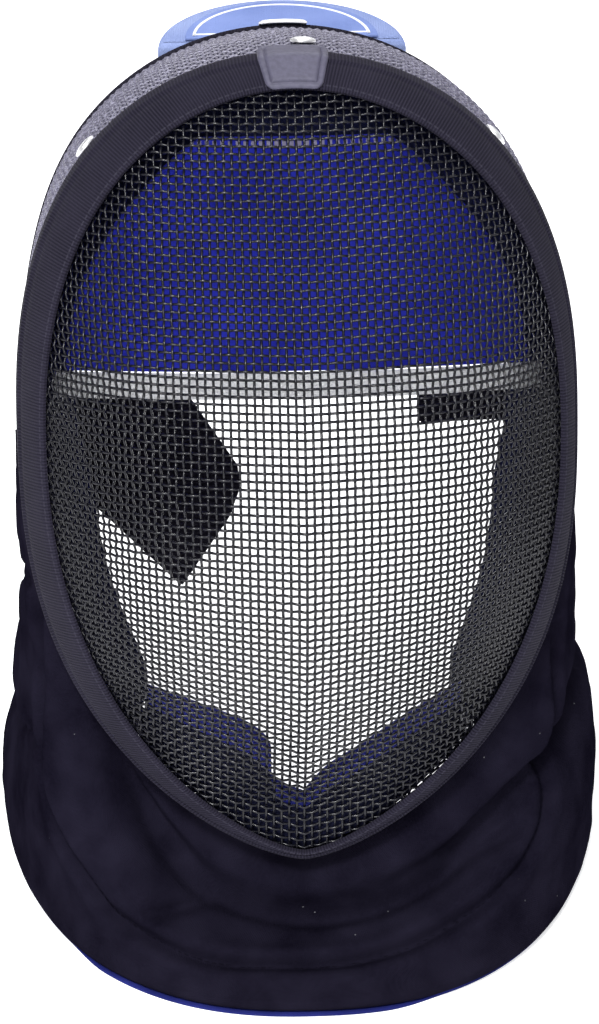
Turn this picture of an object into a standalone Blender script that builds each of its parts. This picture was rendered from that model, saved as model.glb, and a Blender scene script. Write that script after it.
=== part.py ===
"""Fencing mask: woven steel front and sides, ribbed trim, padded bib, inner pads, straps and tongue.

Lengths are in metres and angles in degrees. The mask frame has X to the right, Y to the back and Z up,
with its origin at the middle of the trim ring, which lies in the plane Y = 0. An angle goes round the
ring from the right ear (0) over the crown (90) to the left ear (180), and the chin is at -90. The mask
leans back on the hem of its bib, which stands on the plane Z = 0 of the standing frame.
"""

import math
from collections import namedtuple

import bmesh
import bpy
import numpy as np
from mathutils import Matrix, Vector

# Clearances between neighbouring pieces
GAP = 0.0004
PAD_GAP = 0.0008
TRIM_GAP = 0.0008

# How the mask stands
LEAN = 19.3
RING_HEIGHT = 0.2032

# The ring: outer edge of the trim, and the height above its middle where it is widest
RING_HALF_WIDTH = 0.1113
RING_TOP = 0.162
RING_CHIN = 0.162
RING_WIDEST = 0.015
RING_STEP = 6

# Woven panels
MESH_WALL = 0.0020
FRONT_BULGE = 0.072
FRONT_FLATNESS = 3.5
SIDE_DEPTH = 0.112
CROWN_RISE = 0.0055
CROWN_BULGE = 0.0060

# Trim band, folded over the joint of the two panels
TRIM_WALL = 0.0021
TRIM_REAR = 0.010
TRIM_FACE_TOP = 0.0130
TRIM_FACE_SIDE = 0.0106
TRIM_FACE_CHIN = 0.0045
TRIM_FACE_SHIFT = 0.0019

# Patch over the trim at the top
TAB_WALL = 0.0013
TAB_HALF_WIDTH = 0.0138
TAB_OVERHANG = 0.0010

# Binding of the open back edge
BINDING_WALL = 0.0015
BINDING_WIDTH = 0.0090

# Snap caps on the side panel
RIVET_RADIUS = 0.0052
RIVET_RISE = 0.0020
RIVET_SPOTS = {"rivet_top": (88.0, 0.0180), "rivet_left": (131.0, 0.0070), "rivet_right": (50.0, 0.0070)}

# Spring tongue and what holds it
TONGUE_RADIUS = 0.052
TONGUE_WALL = 0.0090
TONGUE_ROUND = 0.0030
TONGUE_PITCH = 17.5
TONGUE_DROP = 0.0012
NECK_HALF_WIDTH = 0.018
NECK_LENGTH = 0.028
PATCH_MARGIN = 0.0116
PATCH_WALL = 0.0012
PLATE_HALF_WIDTH = 0.0095
PLATE_LENGTH = 0.0120
PLATE_WALL = 0.0015

# Forehead pad and the band under it
FOREHEAD_HALF_WIDTH = 0.092
FOREHEAD_BOTTOM = 0.0400
FOREHEAD_HEIGHT = 0.0910
FOREHEAD_RIM = -0.0020
FOREHEAD_BULGE = 0.0160
FOREHEAD_WALL = 0.0060
FOREHEAD_FILL = 0.0060
BAND_HEIGHT = 0.0105
BAND_WALL = 0.0030
BAND_HALF_LENGTH = 0.0965
BAND_SETBACK = 0.0010

# Pads along the inside of the side panel
PAD_FRONT = 0.0044
SIDE_PAD_MARGIN = 0.0130
CROWN_PAD_MARGIN = 0.0300
CROWN_PAD_WALL = 0.0160
CROWN_PAD_EXTRA = 0.0140
CROWN_PAD_END = 15.2
SIDE_PAD_WALL = 0.0180
SIDE_PAD_TOP = 14.6
SIDE_PAD_BOTTOM = -46.0
PAD_EDGE_SHARE = 0.45

# Chin pad
CHIN_PAD_WALL = 0.0120
CHIN_PAD_FRONT = 0.0030
CHIN_PAD_LEAN = 0.0090
CHIN_PAD_INSET = 0.0012
CHIN_PAD_END_INSET = 0.0050
CHIN_PAD_TURN = 41

# Straps at the open back
STRAP_WALL = 0.0025
STRAP_MARGIN = 0.0075
STRAP_REACH = 0.0790
STRAP_WIDTH = 0.0880
STRAP_TOP = 0.0215
STRAP_TAB_LENGTH = 0.0490
STRAP_TAB_WIDTH = 0.0135
STRAP_TAB_HEIGHT = 0.0100
STRAP_TAB_MARGIN = 0.0090
STRAP_TAB_TILT = 1.5

# Bib
BIB_WALL = 0.0070
BIB_PROUD = 0.0029
BIB_EAR_DEPTH = 0.0740
BIB_EAR_DROP = 8.0
BIB_EAR_SHARE = 0.80
HEM_HALF_WIDTH = 0.1285
HEM_SHIFT = 0.0024
HEM_DEPTH = 0.1826
HEM_WIDEST = 0.0906
HEM_POWER = 2.35
HEM_SWEEP = 98
HEM_EDGE = 0.0040
HEM_STEP = 0.01
FOLD_DEPTH = 0.0190
FOLD_SPREAD = 0.0105
SKIRT_PUFF = 0.0035
SIDE_START = 0.45
SIDE_BLEND = 0.25
LINING_WALL = 0.0012
LINING_GAP = 0.0014
LINING_LIP = 0.0008

# Front profile down the middle: share of the height below the top, share of the bulge
FRONT_PROFILE = (
    (0.000, 0.000),
    (0.080, 0.270),
    (0.225, 0.600),
    (0.426, 0.944),
    (0.540, 1.000),
    (0.651, 0.910),
    (0.775, 0.660),
    (0.880, 0.310),
    (0.948, 0.075),
    (1.000, 0.000),
)

# Soft crease of the front: share of the height below the top, share of the depth that falls straight
FRONT_CREASE = ((0.00, 0.00), (0.35, 0.06), (0.60, 0.16), (0.80, 0.30), (1.00, 0.20))

# Side panel: height angle, share of the rise at the back, share of the bulge, share of the depth
SIDE_SHAPE = (
    (-90, -0.9, -0.3, 0.30),
    (-54, -0.9, -0.3, 0.40),
    (-24, -0.9, -0.3, 0.60),
    (-12, -0.8, -0.3, 0.72),
    (0, -0.1, 0.3, 0.84),
    (25, 0.2, 0.5, 0.96),
    (50, 0.7, 0.9, 1.00),
    (90, 1.0, 1.0, 1.00),
)

# Forehead pad: share of its height, share of its half width, share of its bulge
FOREHEAD_OUTLINE = (
    (0.00, 1.00, 1.00),
    (0.30, 0.95, 0.95),
    (0.55, 0.83, 0.80),
    (0.80, 0.63, 0.60),
    (0.93, 0.50, 0.50),
    (1.00, 0.40, 0.45),
)

# Upper edge of the chin pad: angle from the chin, then on the left and on the right the share of the
# ring's half width and the share of its chin depth
CHIN_EDGE = (
    (0, 0.000, 0.825, 0.000, 0.825),
    (5, 0.068, 0.804, 0.043, 0.790),
    (9, 0.121, 0.764, 0.085, 0.762),
    (12, 0.115, 0.713, 0.120, 0.745),
    (15, 0.127, 0.688, 0.157, 0.730),
    (20, 0.191, 0.648, 0.218, 0.704),
    (31, 0.370, 0.594, 0.364, 0.638),
    (36, 0.495, 0.559, 0.497, 0.583),
    (42, 0.575, 0.539, 0.590, 0.546),
)

# Corners of the drooping strap: share of its reach, share of its width below its top
STRAP_CORNERS = (
    (0.00, 0.00),
    (0.68, 0.00),
    (0.99, 0.42),
    (1.00, 0.53),
    (0.94, 0.67),
    (0.68, 1.00),
    (0.26, 0.63),
    (0.00, 0.44),
)

# Snap cap: share of its rise, share of its radius
RIVET_PROFILE = ((0.00, 1.00), (0.45, 1.00), (0.80, 0.75), (1.00, 0.35))

# Folds of the bib: share of the way round (left is negative), share of the drop, share of the depth
BIB_FOLDS = (
    (
        (-0.44, 0.03, 0.00),
        (-0.34, 0.22, 0.55),
        (-0.20, 0.46, 0.85),
        (0.00, 0.56, 1.00),
        (0.24, 0.50, 0.85),
        (0.42, 0.42, 0.55),
        (0.55, 0.49, 0.40),
        (0.70, 0.56, 0.22),
        (1.00, 0.66, 0.20),
    ),
    ((-1.00, 0.34, 0.15), (-0.80, 0.33, 0.15), (-0.66, 0.30, 0.12), (-0.52, 0.26, 0.00)),
    ((-1.00, 0.76, 0.14), (-0.80, 0.74, 0.16), (-0.62, 0.66, 0.14), (-0.46, 0.58, 0.00)),
)

# How proud of the trim the bib's upper edge lies: share of the way round, share of the proud height
BIB_SEAM = ((0.00, 1.0), (0.40, 1.0), (0.58, 0.3), (0.82, 0.2), (0.92, 0.9), (1.00, 1.8))

# How far the sides of the bib have spread to the hem: share of the drop, left share, right share
BIB_SPREAD = (
    (0.00, 0.00, 0.00),
    (0.12, 0.04, 0.05),
    (0.25, 0.06, 0.08),
    (0.45, 0.06, 0.20),
    (0.65, 0.42, 0.66),
    (0.75, 0.55, 0.90),
    (0.82, 0.58, 0.97),
    (1.00, 1.00, 1.00),
)

# Stations down the bib, as shares of the drop, and how many sections it has round the throat
BIB_STATIONS = (0.0, 0.06, 0.15, 0.26, 0.37, 0.47, 0.57, 0.68, 0.80, 0.91)
BIB_SECTIONS = 41
SEAM_STATIONS = 4

# Ring edges: sizes, and the powers that round the crown and the jaw
Edge = namedtuple("Edge", "half_width top chin crown_power crown_round jaw_power jaw_round shift")
RING = Edge(RING_HALF_WIDTH, RING_TOP, RING_CHIN, 2.55, 0.48, 2.5, 0.68, 0.0)
BORDER_INSET = TRIM_WALL + TRIM_GAP
BORDER = RING._replace(
    half_width=RING_HALF_WIDTH - BORDER_INSET,
    top=RING_TOP - BORDER_INSET,
    chin=RING_CHIN - BORDER_INSET,
)
TRIM_FACE = Edge(
    RING_HALF_WIDTH - TRIM_FACE_SIDE,
    RING_TOP - TRIM_FACE_TOP,
    RING_CHIN - TRIM_FACE_CHIN,
    2.3,
    0.50,
    2.2,
    0.68,
    TRIM_FACE_SHIFT,
)


def clear_scene():
    for item in list(bpy.data.objects):
        bpy.data.objects.remove(item, do_unlink=True)


def material(name, colour, roughness, metallic=0.0):
    made = bpy.data.materials.new(name)
    made.use_nodes = True
    shader = made.node_tree.nodes["Principled BSDF"]
    shader.inputs["Base Color"].default_value = (*colour, 1.0)
    shader.inputs["Roughness"].default_value = roughness
    shader.inputs["Metallic"].default_value = metallic
    return made


def follow(table, column, at):
    """A column of a table, read smoothly between its rows by the first column, without overshoot."""
    rows = np.array(table, float)
    keys, values = rows[:, 0], rows[:, column]
    step = np.diff(keys)
    rise = np.diff(values) / step
    slope = np.zeros(len(keys))
    slope[0] = rise[0]
    slope[-1] = rise[-1]
    product = rise[:-1] * rise[1:]
    total = np.where(product > 0, rise[:-1] + rise[1:], 1.0)
    slope[1:-1] = np.where(product > 0, 2 * product / total, 0.0)
    at = np.clip(at, keys[0], keys[-1])
    row = np.clip(np.searchsorted(keys, at, side="right") - 1, 0, len(keys) - 2)
    t = (at - keys[row]) / step[row]
    start = values[row] * (1 + 2 * t) * (1 - t) ** 2 + slope[row] * step[row] * t * (1 - t) ** 2
    end = values[row + 1] * t**2 * (3 - 2 * t) + slope[row + 1] * step[row] * t**2 * (t - 1)
    return start + end


def unit(vectors):
    return vectors / np.linalg.norm(vectors, axis=-1, keepdims=True)


def edge_point(edge, angle):
    """X and Z of a ring edge at an angle."""
    rise = np.sin(np.radians(angle))
    share = np.abs(rise)
    upper = rise >= 0
    power = np.where(upper, edge.crown_power, edge.jaw_power)
    rounding = np.where(upper, edge.crown_round, edge.jaw_round)
    reach = np.where(upper, edge.top - RING_WIDEST, edge.chin + RING_WIDEST)
    width = edge.half_width * np.maximum(1 - share**power, 0) ** rounding
    x = edge.shift * np.sqrt(np.maximum(1 - share**2, 0)) + np.sign(np.cos(np.radians(angle))) * width
    return x, RING_WIDEST + reach * rise


def edge_width(edge, z):
    """Half width of a ring edge at a height."""
    upper = z >= RING_WIDEST
    reach = np.where(upper, edge.top - RING_WIDEST, edge.chin + RING_WIDEST)
    share = np.clip(np.abs(z - RING_WIDEST) / reach, 0, 1)
    power = np.where(upper, edge.crown_power, edge.jaw_power)
    rounding = np.where(upper, edge.crown_round, edge.jaw_round)
    return edge.half_width * (1 - share**power) ** rounding


def edge_outward(angle):
    """Unit X and Z pointing out of the border at an angle."""
    ahead = edge_point(BORDER, angle + 0.5)
    behind = edge_point(BORDER, angle - 0.5)
    return unit(np.stack([ahead[1] - behind[1], behind[0] - ahead[0]], -1))


def front_surface(x, z):
    """Y of the outside of the front panel."""
    down = np.clip((BORDER.top - z) / (BORDER.top + BORDER.chin), 0, 1)
    depth = FRONT_BULGE * follow(FRONT_PROFILE, 1, down)
    crease = follow(FRONT_CREASE, 1, down)
    side = np.clip(np.abs(x) / np.maximum(edge_width(BORDER, z), 1e-6), 0, 1)
    return -depth * (1 - crease * side - (1 - crease) * side**FRONT_FLATNESS)


def front_point(x, z, lift):
    """A point over the front panel, or under it where lift is negative."""
    step = 0.0005
    across = (front_surface(x + step, z) - front_surface(x - step, z)) / (2 * step)
    above = np.minimum(z + step, BORDER.top)
    below = np.maximum(z - step, -BORDER.chin)
    along = (front_surface(x, above) - front_surface(x, below)) / (above - below)
    normal = unit(np.stack([across, -np.ones_like(across), along], -1))
    return np.stack([x, front_surface(x, z), z], -1) + normal * lift


def height_angle(angle):
    """Angle above the ears, the same on both sides."""
    return np.degrees(np.arcsin(np.sin(np.radians(angle))))


def side_depth(angle):
    return SIDE_DEPTH * follow(SIDE_SHAPE, 3, height_angle(angle))


def side_point(angle, y, lift):
    """A point over the outside of the side panel, or under it where lift is negative."""
    x, z = edge_point(BORDER, angle)
    outward = edge_outward(angle)
    share = y / SIDE_DEPTH
    rise = CROWN_RISE * follow(SIDE_SHAPE, 1, height_angle(angle)) * share
    bulge = CROWN_BULGE * follow(SIDE_SHAPE, 2, height_angle(angle)) * 4 * share * (1 - share)
    out = rise + bulge + lift
    return np.stack([x + outward[..., 0] * out, y + 0 * x, z + outward[..., 1] * out], -1)


def trim_path(angle, lift):
    """Points across the trim, from its inner edge over the joint to its rear edge."""
    inner_x, inner_z = edge_point(TRIM_FACE, angle)
    border_x, border_z = edge_point(BORDER, angle)
    path = []
    for share in (0.0, 0.35, 0.70, 0.95):
        x = inner_x + (border_x - inner_x) * share
        z = inner_z + (border_z - inner_z) * share
        path.append(front_point(x, z, lift))
    outward = edge_outward(angle)
    on_edge = front_point(border_x * 0.999, border_z * 0.999, 1.0)
    on_edge = unit(on_edge - front_point(border_x * 0.999, border_z * 0.999, 0.0))
    bend = unit(on_edge + np.stack([outward[..., 0], 0 * border_x, outward[..., 1]], -1))
    path.append(np.stack([border_x, 0 * border_x, border_z], -1) + bend * lift)
    for share in (0.4, 1.0):
        path.append(side_point(angle, TRIM_REAR * share, lift))
    return np.stack(path, 1)


def stand_up(points):
    """Mask frame to standing frame."""
    lean = math.radians(LEAN)
    x, y, z = points[..., 0], points[..., 1], points[..., 2]
    back = y * math.cos(lean) + z * math.sin(lean)
    return np.stack([x, back, RING_HEIGHT - y * math.sin(lean) + z * math.cos(lean)], -1)


def new_object(name, points, faces, look, parent, sharp=40):
    mesh = bpy.data.meshes.new(name)
    mesh.from_pydata([tuple(map(float, p)) for p in points], [], faces)
    work = bmesh.new()
    work.from_mesh(mesh)
    bmesh.ops.recalc_face_normals(work, faces=work.faces)
    work.to_mesh(mesh)
    work.free()
    mesh.shade_smooth()
    mesh.set_sharp_from_angle(angle=math.radians(sharp))
    mesh.materials.append(look)
    made = bpy.data.objects.new(name, mesh)
    made.parent = parent
    bpy.context.scene.collection.objects.link(made)
    return made


def wall(name, outer, inner, look, parent, ring=False):
    """A closed wall between two grids of sections by stations, joined round its borders."""
    sections, stations = outer.shape[:2]
    points = np.concatenate([outer.reshape(-1, 3), inner.reshape(-1, 3)])
    second = sections * stations

    def at(skin, i, j):
        return skin * second + (i % sections) * stations + j

    faces = []
    for i in range(sections if ring else sections - 1):
        for j in range(stations - 1):
            faces.append((at(0, i, j), at(0, i + 1, j), at(0, i + 1, j + 1), at(0, i, j + 1)))
            faces.append((at(1, i, j), at(1, i, j + 1), at(1, i + 1, j + 1), at(1, i + 1, j)))
        for j in (0, stations - 1):
            faces.append((at(0, i, j), at(0, i + 1, j), at(1, i + 1, j), at(1, i, j)))
    if not ring:
        for i in (0, sections - 1):
            for j in range(stations - 1):
                faces.append((at(0, i, j), at(0, i, j + 1), at(1, i, j + 1), at(1, i, j)))
    return new_object(name, points, faces, look, parent)


def loft(name, loops, look, parent, sharp=40):
    """A closed solid through closed loops, capped at both ends."""
    sections, count = loops.shape[:2]
    faces = []
    for i in range(sections - 1):
        for j in range(count):
            after = (j + 1) % count
            faces.append(
                (i * count + j, i * count + after, (i + 1) * count + after, (i + 1) * count + j)
            )
    faces.append(tuple(range(count)))
    faces.append(tuple(range((sections - 1) * count, sections * count)))
    return new_object(name, loops.reshape(-1, 3), faces, look, parent, sharp)


def shrunk(outline, inset):
    """A flat outline moved in by an inset, for an outline that turns anticlockwise."""
    before = unit(outline - np.roll(outline, 1, 0))
    after = unit(np.roll(outline, -1, 0) - outline)
    inward = unit(np.stack([-before[:, 1] - after[:, 1], before[:, 0] + after[:, 0]], -1))
    turn = np.clip((before * after).sum(-1), -1, 1)
    return outline + inward * (inset / np.sqrt((1 + turn) / 2))[:, None]


def slab(name, outline, wall_height, rounding, placement, look, parent):
    """A plate with the given outline, its top at zero height, and rounded edges where asked for."""
    levels = [(0.0, 0.0), (-wall_height, 0.0)]
    if rounding:
        soft = rounding * 0.7
        levels = [(0.0, rounding), (-soft, 0.0), (soft - wall_height, 0.0), (-wall_height, rounding)]
    loops = []
    for height, inset in levels:
        flat = shrunk(outline, inset) if inset else outline
        loops.append(np.column_stack([flat, np.full(len(flat), height)]))
    made = loft(name, np.array(loops), look, parent)
    made.matrix_local = placement
    return made


def make_front_mesh(frame, look):
    angles = np.arange(-90, 270, RING_STEP)
    rim_x, rim_z = edge_point(BORDER, angles)
    rings = np.array([0.24, 0.46, 0.66, 0.82, 0.93, 1.0])
    x = rim_x[:, None] * rings
    z = RING_WIDEST + (rim_z[:, None] - RING_WIDEST) * rings
    outer = front_point(x, z, 0.0)
    inner = front_point(x, z, -MESH_WALL)
    middle = np.array([0.0]), np.array([RING_WIDEST])
    tips = np.concatenate([front_point(*middle, 0.0), front_point(*middle, -MESH_WALL)])
    count, stations = outer.shape[:2]
    points = np.concatenate([outer.reshape(-1, 3), inner.reshape(-1, 3), tips])
    second = count * stations
    faces = []
    for i in range(count):
        here = i * stations
        there = (i + 1) % count * stations
        for j in range(stations - 1):
            faces.append((here + j, there + j, there + j + 1, here + j + 1))
            faces.append(tuple(second + k for k in faces[-1][::-1]))
        faces.append((here, there, 2 * second))
        faces.append((second + there, second + here, 2 * second + 1))
        last = stations - 1
        faces.append((here + last, there + last, second + there + last, second + here + last))
    return new_object("front_mesh", points, faces, look, frame)


def side_angles():
    return np.arange(-54, 235, RING_STEP)


def make_side_mesh(frame, look):
    angles = side_angles()[:, None] + 0.0
    start = MESH_WALL + GAP
    shares = np.linspace(0, 1, 6)
    y = start + (side_depth(angles) - start) * shares
    angles = angles + 0 * y
    outer = side_point(angles, y, 0.0)
    inner = side_point(angles, y, -MESH_WALL)
    return wall("side_mesh", outer, inner, look, frame)


def make_back_edge(frame, look):
    angles = side_angles() + 0.0
    depth = side_depth(angles)
    over = GAP + BINDING_WALL
    under = -MESH_WALL - GAP
    corners = (
        (-BINDING_WIDTH, over),
        (over, over),
        (over, under - BINDING_WALL),
        (-BINDING_WIDTH, under - BINDING_WALL),
        (-BINDING_WIDTH, under),
        (GAP, under),
        (GAP, GAP),
        (-BINDING_WIDTH, GAP),
    )
    loops = [side_point(angles, depth + back, lift) for back, lift in corners]
    return loft("back_edge", np.stack(loops, 1), look, frame)


def make_trim(frame, look):
    angles = np.arange(-90, 270, RING_STEP) + 0.0
    outer = trim_path(angles, TRIM_GAP + TRIM_WALL)
    inner = trim_path(angles, TRIM_GAP)
    return wall("trim", outer, inner, look, frame, ring=True)


def angle_at(half_width):
    """Angle near the crown where the ring has this half width."""
    angles = np.linspace(60, 90, 400)
    widths = edge_point(RING, angles)[0]
    return float(np.interp(half_width, widths[::-1], angles[::-1]))


def make_trim_tab(frame, look):
    side = angle_at(TAB_HALF_WIDTH)
    angles = np.array([side, 90 - (90 - side) / 2, 90, 90 + (90 - side) / 2, 180 - side])
    seat = TRIM_GAP + TRIM_WALL + GAP
    under = trim_path(angles, seat)
    over = trim_path(angles, seat + TAB_WALL)
    for skin in (under, over):
        skin[:, 0] += unit(skin[:, 0] - skin[:, 1]) * TAB_OVERHANG
    return wall("trim_tab", over, under, look, frame)


def make_rivets(frame, look):
    turns = np.radians(np.arange(0, 360, 30))
    for name, (angle, setback) in RIVET_SPOTS.items():
        loops = []
        for height, share in RIVET_PROFILE:
            radius = RIVET_RADIUS * share
            level = np.full(len(turns), RIVET_RISE * height)
            loops.append(np.stack([radius * np.cos(turns), radius * np.sin(turns), level], -1))
        made = loft(name, np.array(loops), look, frame)
        y = TRIM_REAR + setback
        place = side_point(np.array([angle]), np.array([y]), 2 * GAP)[0]
        above = side_point(np.array([angle]), np.array([y]), 1.0)[0]
        turn = Vector(above - place).to_track_quat("Z", "Y").to_matrix().to_4x4()
        made.matrix_local = Matrix.Translation(place) @ turn


def tongue_placement(lift):
    """Frame of the tongue's top face: X across, Y to its tip."""
    rear = SIDE_DEPTH + 2 * GAP + BINDING_WALL + TONGUE_DROP
    crown = side_point(np.array([90.0]), np.array([SIDE_DEPTH]), 0.0)[0][2]
    top = crown - MESH_WALL - BINDING_WALL - 2 * GAP - TONGUE_DROP
    turn = Matrix.Rotation(math.radians(TONGUE_PITCH), 4, "X")
    return Matrix.Translation((0, rear, top)) @ turn @ Matrix.Translation((0, 0, lift))


def half_round(radius, start, steps):
    turns = np.linspace(0, math.pi, steps)
    arc = np.stack([radius * np.cos(turns), start + radius * np.sin(turns)], -1)
    return arc


def make_tongue(frame, look):
    neck = NECK_HALF_WIDTH
    arc = half_round(TONGUE_RADIUS, 0.0, 19)
    corners = [(-neck, 0.0), (-neck, -NECK_LENGTH), (neck, -NECK_LENGTH), (neck, 0.0)]
    outline = np.concatenate([arc, np.array(corners)])
    return slab("tongue", outline, TONGUE_WALL, TONGUE_ROUND, tongue_placement(0.0), look, frame)


def make_tongue_patch(frame, look):
    radius = TONGUE_RADIUS - PATCH_MARGIN
    outline = half_round(radius, TONGUE_ROUND, 17)
    top = tongue_placement(GAP + PATCH_WALL)
    return slab("tongue_patch", outline, PATCH_WALL, 0.0, top, look, frame)


def make_tongue_plate(frame, look):
    side = angle_at(PLATE_HALF_WIDTH)
    angles = np.array([side, 90.0, 180 - side])[:, None]
    y = SIDE_DEPTH + GAP - PLATE_LENGTH * np.array([1.0, 0.5, 0.0])
    angles = angles + 0 * y
    y = y + 0 * angles
    under = side_point(angles, y, 2 * GAP + BINDING_WALL)
    over = side_point(angles, y, 2 * GAP + BINDING_WALL + PLATE_WALL)
    return wall("tongue_plate", over, under, look, frame)


def forehead_front(share, height):
    """Y of the forehead pad's front at a share of its half width and a share of its height."""
    return FOREHEAD_RIM - FOREHEAD_BULGE * follow(FOREHEAD_OUTLINE, 2, height) * (1 - share**2)


def make_forehead_pad(frame, look):
    heights = np.array([0.0, 0.16, 0.34, 0.55, 0.78, 0.93, 1.0])
    shares = np.linspace(-1, 1, 15)
    height, share = np.meshgrid(heights, shares, indexing="ij")
    x = share * FOREHEAD_HALF_WIDTH * follow(FOREHEAD_OUTLINE, 1, height)
    z = FOREHEAD_BOTTOM + height * FOREHEAD_HEIGHT
    front = forehead_front(share, height)
    back = front + FOREHEAD_WALL + FOREHEAD_FILL * (1 - share**2)
    return wall("forehead_pad", np.stack([x, front, z], -1), np.stack([x, back, z], -1), look, frame)


def make_sweat_band(frame, look):
    x = np.linspace(-BAND_HALF_LENGTH, BAND_HALF_LENGTH, 17)
    share = np.clip(x / FOREHEAD_HALF_WIDTH, -1, 1)
    front = forehead_front(share, np.zeros(len(x))) + BAND_SETBACK
    top = FOREHEAD_BOTTOM - GAP
    corners = ((0, top), (BAND_WALL, top), (BAND_WALL, top - BAND_HEIGHT), (0, top - BAND_HEIGHT))
    loops = [np.stack([x, front + back, np.full(len(x), z)], -1) for back, z in corners]
    return loft("sweat_band", np.stack(loops, 1), look, frame)


def edge_softness(share):
    """Thickness share of a pad, thinner towards its borders."""
    return 1 - (1 - PAD_EDGE_SHARE) * np.abs(2 * share - 1) ** 5


def make_lining(name, angles, thickness, margin, soft_front, frame, look):
    """A pad along the inside of the side panel."""
    shares = np.array([0.0, 0.12, 0.35, 0.65, 0.88, 1.0])
    angles = np.array(angles, float)[:, None]
    y = PAD_FRONT + (side_depth(angles) - margin - PAD_FRONT) * shares
    along = edge_softness(shares if soft_front else np.maximum(shares, 0.5))
    first, last = angles[0, 0], angles[-1, 0]
    across = edge_softness((angles - first) / (last - first))
    wall_height = thickness(angles) * along * across
    angles = angles + 0 * y
    against = -MESH_WALL - PAD_GAP
    outer = side_point(angles, y, against)
    inner = side_point(angles, y, against - wall_height)
    return wall(name, outer, inner, look, frame)


def crown_wall(angle):
    return CROWN_PAD_WALL + CROWN_PAD_EXTRA * np.sin(np.radians(angle)) ** 2


def side_wall(angle):
    return SIDE_PAD_WALL + 0 * angle


def make_pads(frame, dark):
    inside = np.arange(18, 163, 2 * RING_STEP)
    crown = [CROWN_PAD_END, *inside, 180 - CROWN_PAD_END]
    make_lining("crown_pad", crown, crown_wall, CROWN_PAD_MARGIN, False, frame, dark)
    side = [*np.arange(SIDE_PAD_BOTTOM, SIDE_PAD_TOP, RING_STEP), SIDE_PAD_TOP]
    other = [180 - angle for angle in side]
    make_lining("side_pad_right", side, side_wall, SIDE_PAD_MARGIN, True, frame, dark)
    make_lining("side_pad_left", other, side_wall, SIDE_PAD_MARGIN, True, frame, dark)


def make_chin_pad(frame, look):
    turns = np.linspace(-CHIN_PAD_TURN, CHIN_PAD_TURN, 21)
    angles = turns - 90
    rim_x, rim_z = edge_point(BORDER, angles)
    outward = edge_outward(angles)
    inset = CHIN_PAD_INSET + (CHIN_PAD_END_INSET - CHIN_PAD_INSET) * (turns / CHIN_PAD_TURN) ** 2
    rim_x = rim_x - outward[:, 0] * inset
    rim_z = rim_z - outward[:, 1] * inset
    left = turns < 0
    away = np.abs(turns)
    share_x = np.where(left, -follow(CHIN_EDGE, 1, away), follow(CHIN_EDGE, 3, away))
    share_z = np.where(left, follow(CHIN_EDGE, 2, away), follow(CHIN_EDGE, 4, away))
    top_x = RING_HALF_WIDTH * share_x
    top_z = -RING_CHIN * share_z
    shares = np.array([0.0, 0.15, 0.5, 0.85, 1.0])
    x = rim_x[:, None] + (top_x - rim_x)[:, None] * shares
    z = rim_z[:, None] + (top_z - rim_z)[:, None] * shares
    front = CHIN_PAD_FRONT - CHIN_PAD_LEAN * shares + 0 * x
    back = front + CHIN_PAD_WALL * edge_softness(np.maximum(shares, 0.5))
    return wall("chin_pad", np.stack([x, front, z], -1), np.stack([x, back, z], -1), look, frame)


def angle_of(z):
    """Angle of the border at a height, on the right."""
    reach = BORDER.top - RING_WIDEST if z > RING_WIDEST else BORDER.chin + RING_WIDEST
    return math.degrees(math.asin((z - RING_WIDEST) / reach))


def inside_width(lowest, highest, y):
    """Least distance from the middle to the back edge's binding between two heights, where it reaches y."""
    angles = np.linspace(angle_of(lowest), angle_of(highest), 9)
    inside = side_point(angles, y + 0 * angles, -MESH_WALL - BINDING_WALL - 2 * GAP)
    held = side_depth(angles) + BINDING_WALL + 2 * GAP >= y
    return float(inside[held, 0].min())


def make_straps(frame, look):
    upright = Matrix.Rotation(math.radians(90), 4, "X")
    corners = np.array(STRAP_CORNERS)
    y = float(side_depth(angle_of(STRAP_TOP))) - STRAP_MARGIN
    start = -inside_width(STRAP_TOP - corners[-1, 1] * STRAP_WIDTH, STRAP_TOP, y)
    outline = np.column_stack(
        [start + GAP + corners[:, 0] * STRAP_REACH, STRAP_TOP - corners[:, 1] * STRAP_WIDTH]
    )[::-1]
    place = Matrix.Translation((0, y, 0)) @ upright
    slab("back_strap", outline, STRAP_WALL, 0.0, place, look, frame)
    half = STRAP_TAB_WIDTH / 2
    y = float(side_depth(angle_of(STRAP_TAB_HEIGHT))) - STRAP_TAB_MARGIN
    end = inside_width(STRAP_TAB_HEIGHT - half, STRAP_TAB_HEIGHT + half, y) - GAP
    box = np.array([(-STRAP_TAB_LENGTH, -half), (0, -half), (0, half), (-STRAP_TAB_LENGTH, half)])
    tilt = Matrix.Rotation(math.radians(STRAP_TAB_TILT), 4, "Z")
    spot = Matrix.Translation((end, y, STRAP_TAB_HEIGHT))
    slab("strap_tab", box, STRAP_WALL, 0.0, spot @ upright @ tilt, look, frame)


def bib_top(way, lift):
    """Upper edge of the bib behind the trim, in the standing frame."""
    share = np.abs(way)
    beyond = np.maximum(share - BIB_EAR_SHARE, 0) / (1 - BIB_EAR_SHARE)
    angle = -90 + 90 * np.minimum(share / BIB_EAR_SHARE, 1) - BIB_EAR_DROP * beyond
    start = TRIM_REAR + GAP
    point = side_point(angle, start + (BIB_EAR_DEPTH - start) * beyond, lift)
    point[:, 0] *= np.where(way < 0, -1, 1)
    return stand_up(point)


def hem_point(way, inset):
    """Plan of the hem, moved in by an inset."""
    turn = np.radians(HEM_SWEEP * way)
    power = 2 / HEM_POWER
    side = np.sign(np.sin(turn)) * np.abs(np.sin(turn)) ** power
    ahead = np.sign(np.cos(turn)) * np.abs(np.cos(turn)) ** power
    x = HEM_SHIFT + (HEM_HALF_WIDTH - inset) * side
    return x, HEM_WIDEST - (HEM_DEPTH - inset) * ahead


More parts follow.
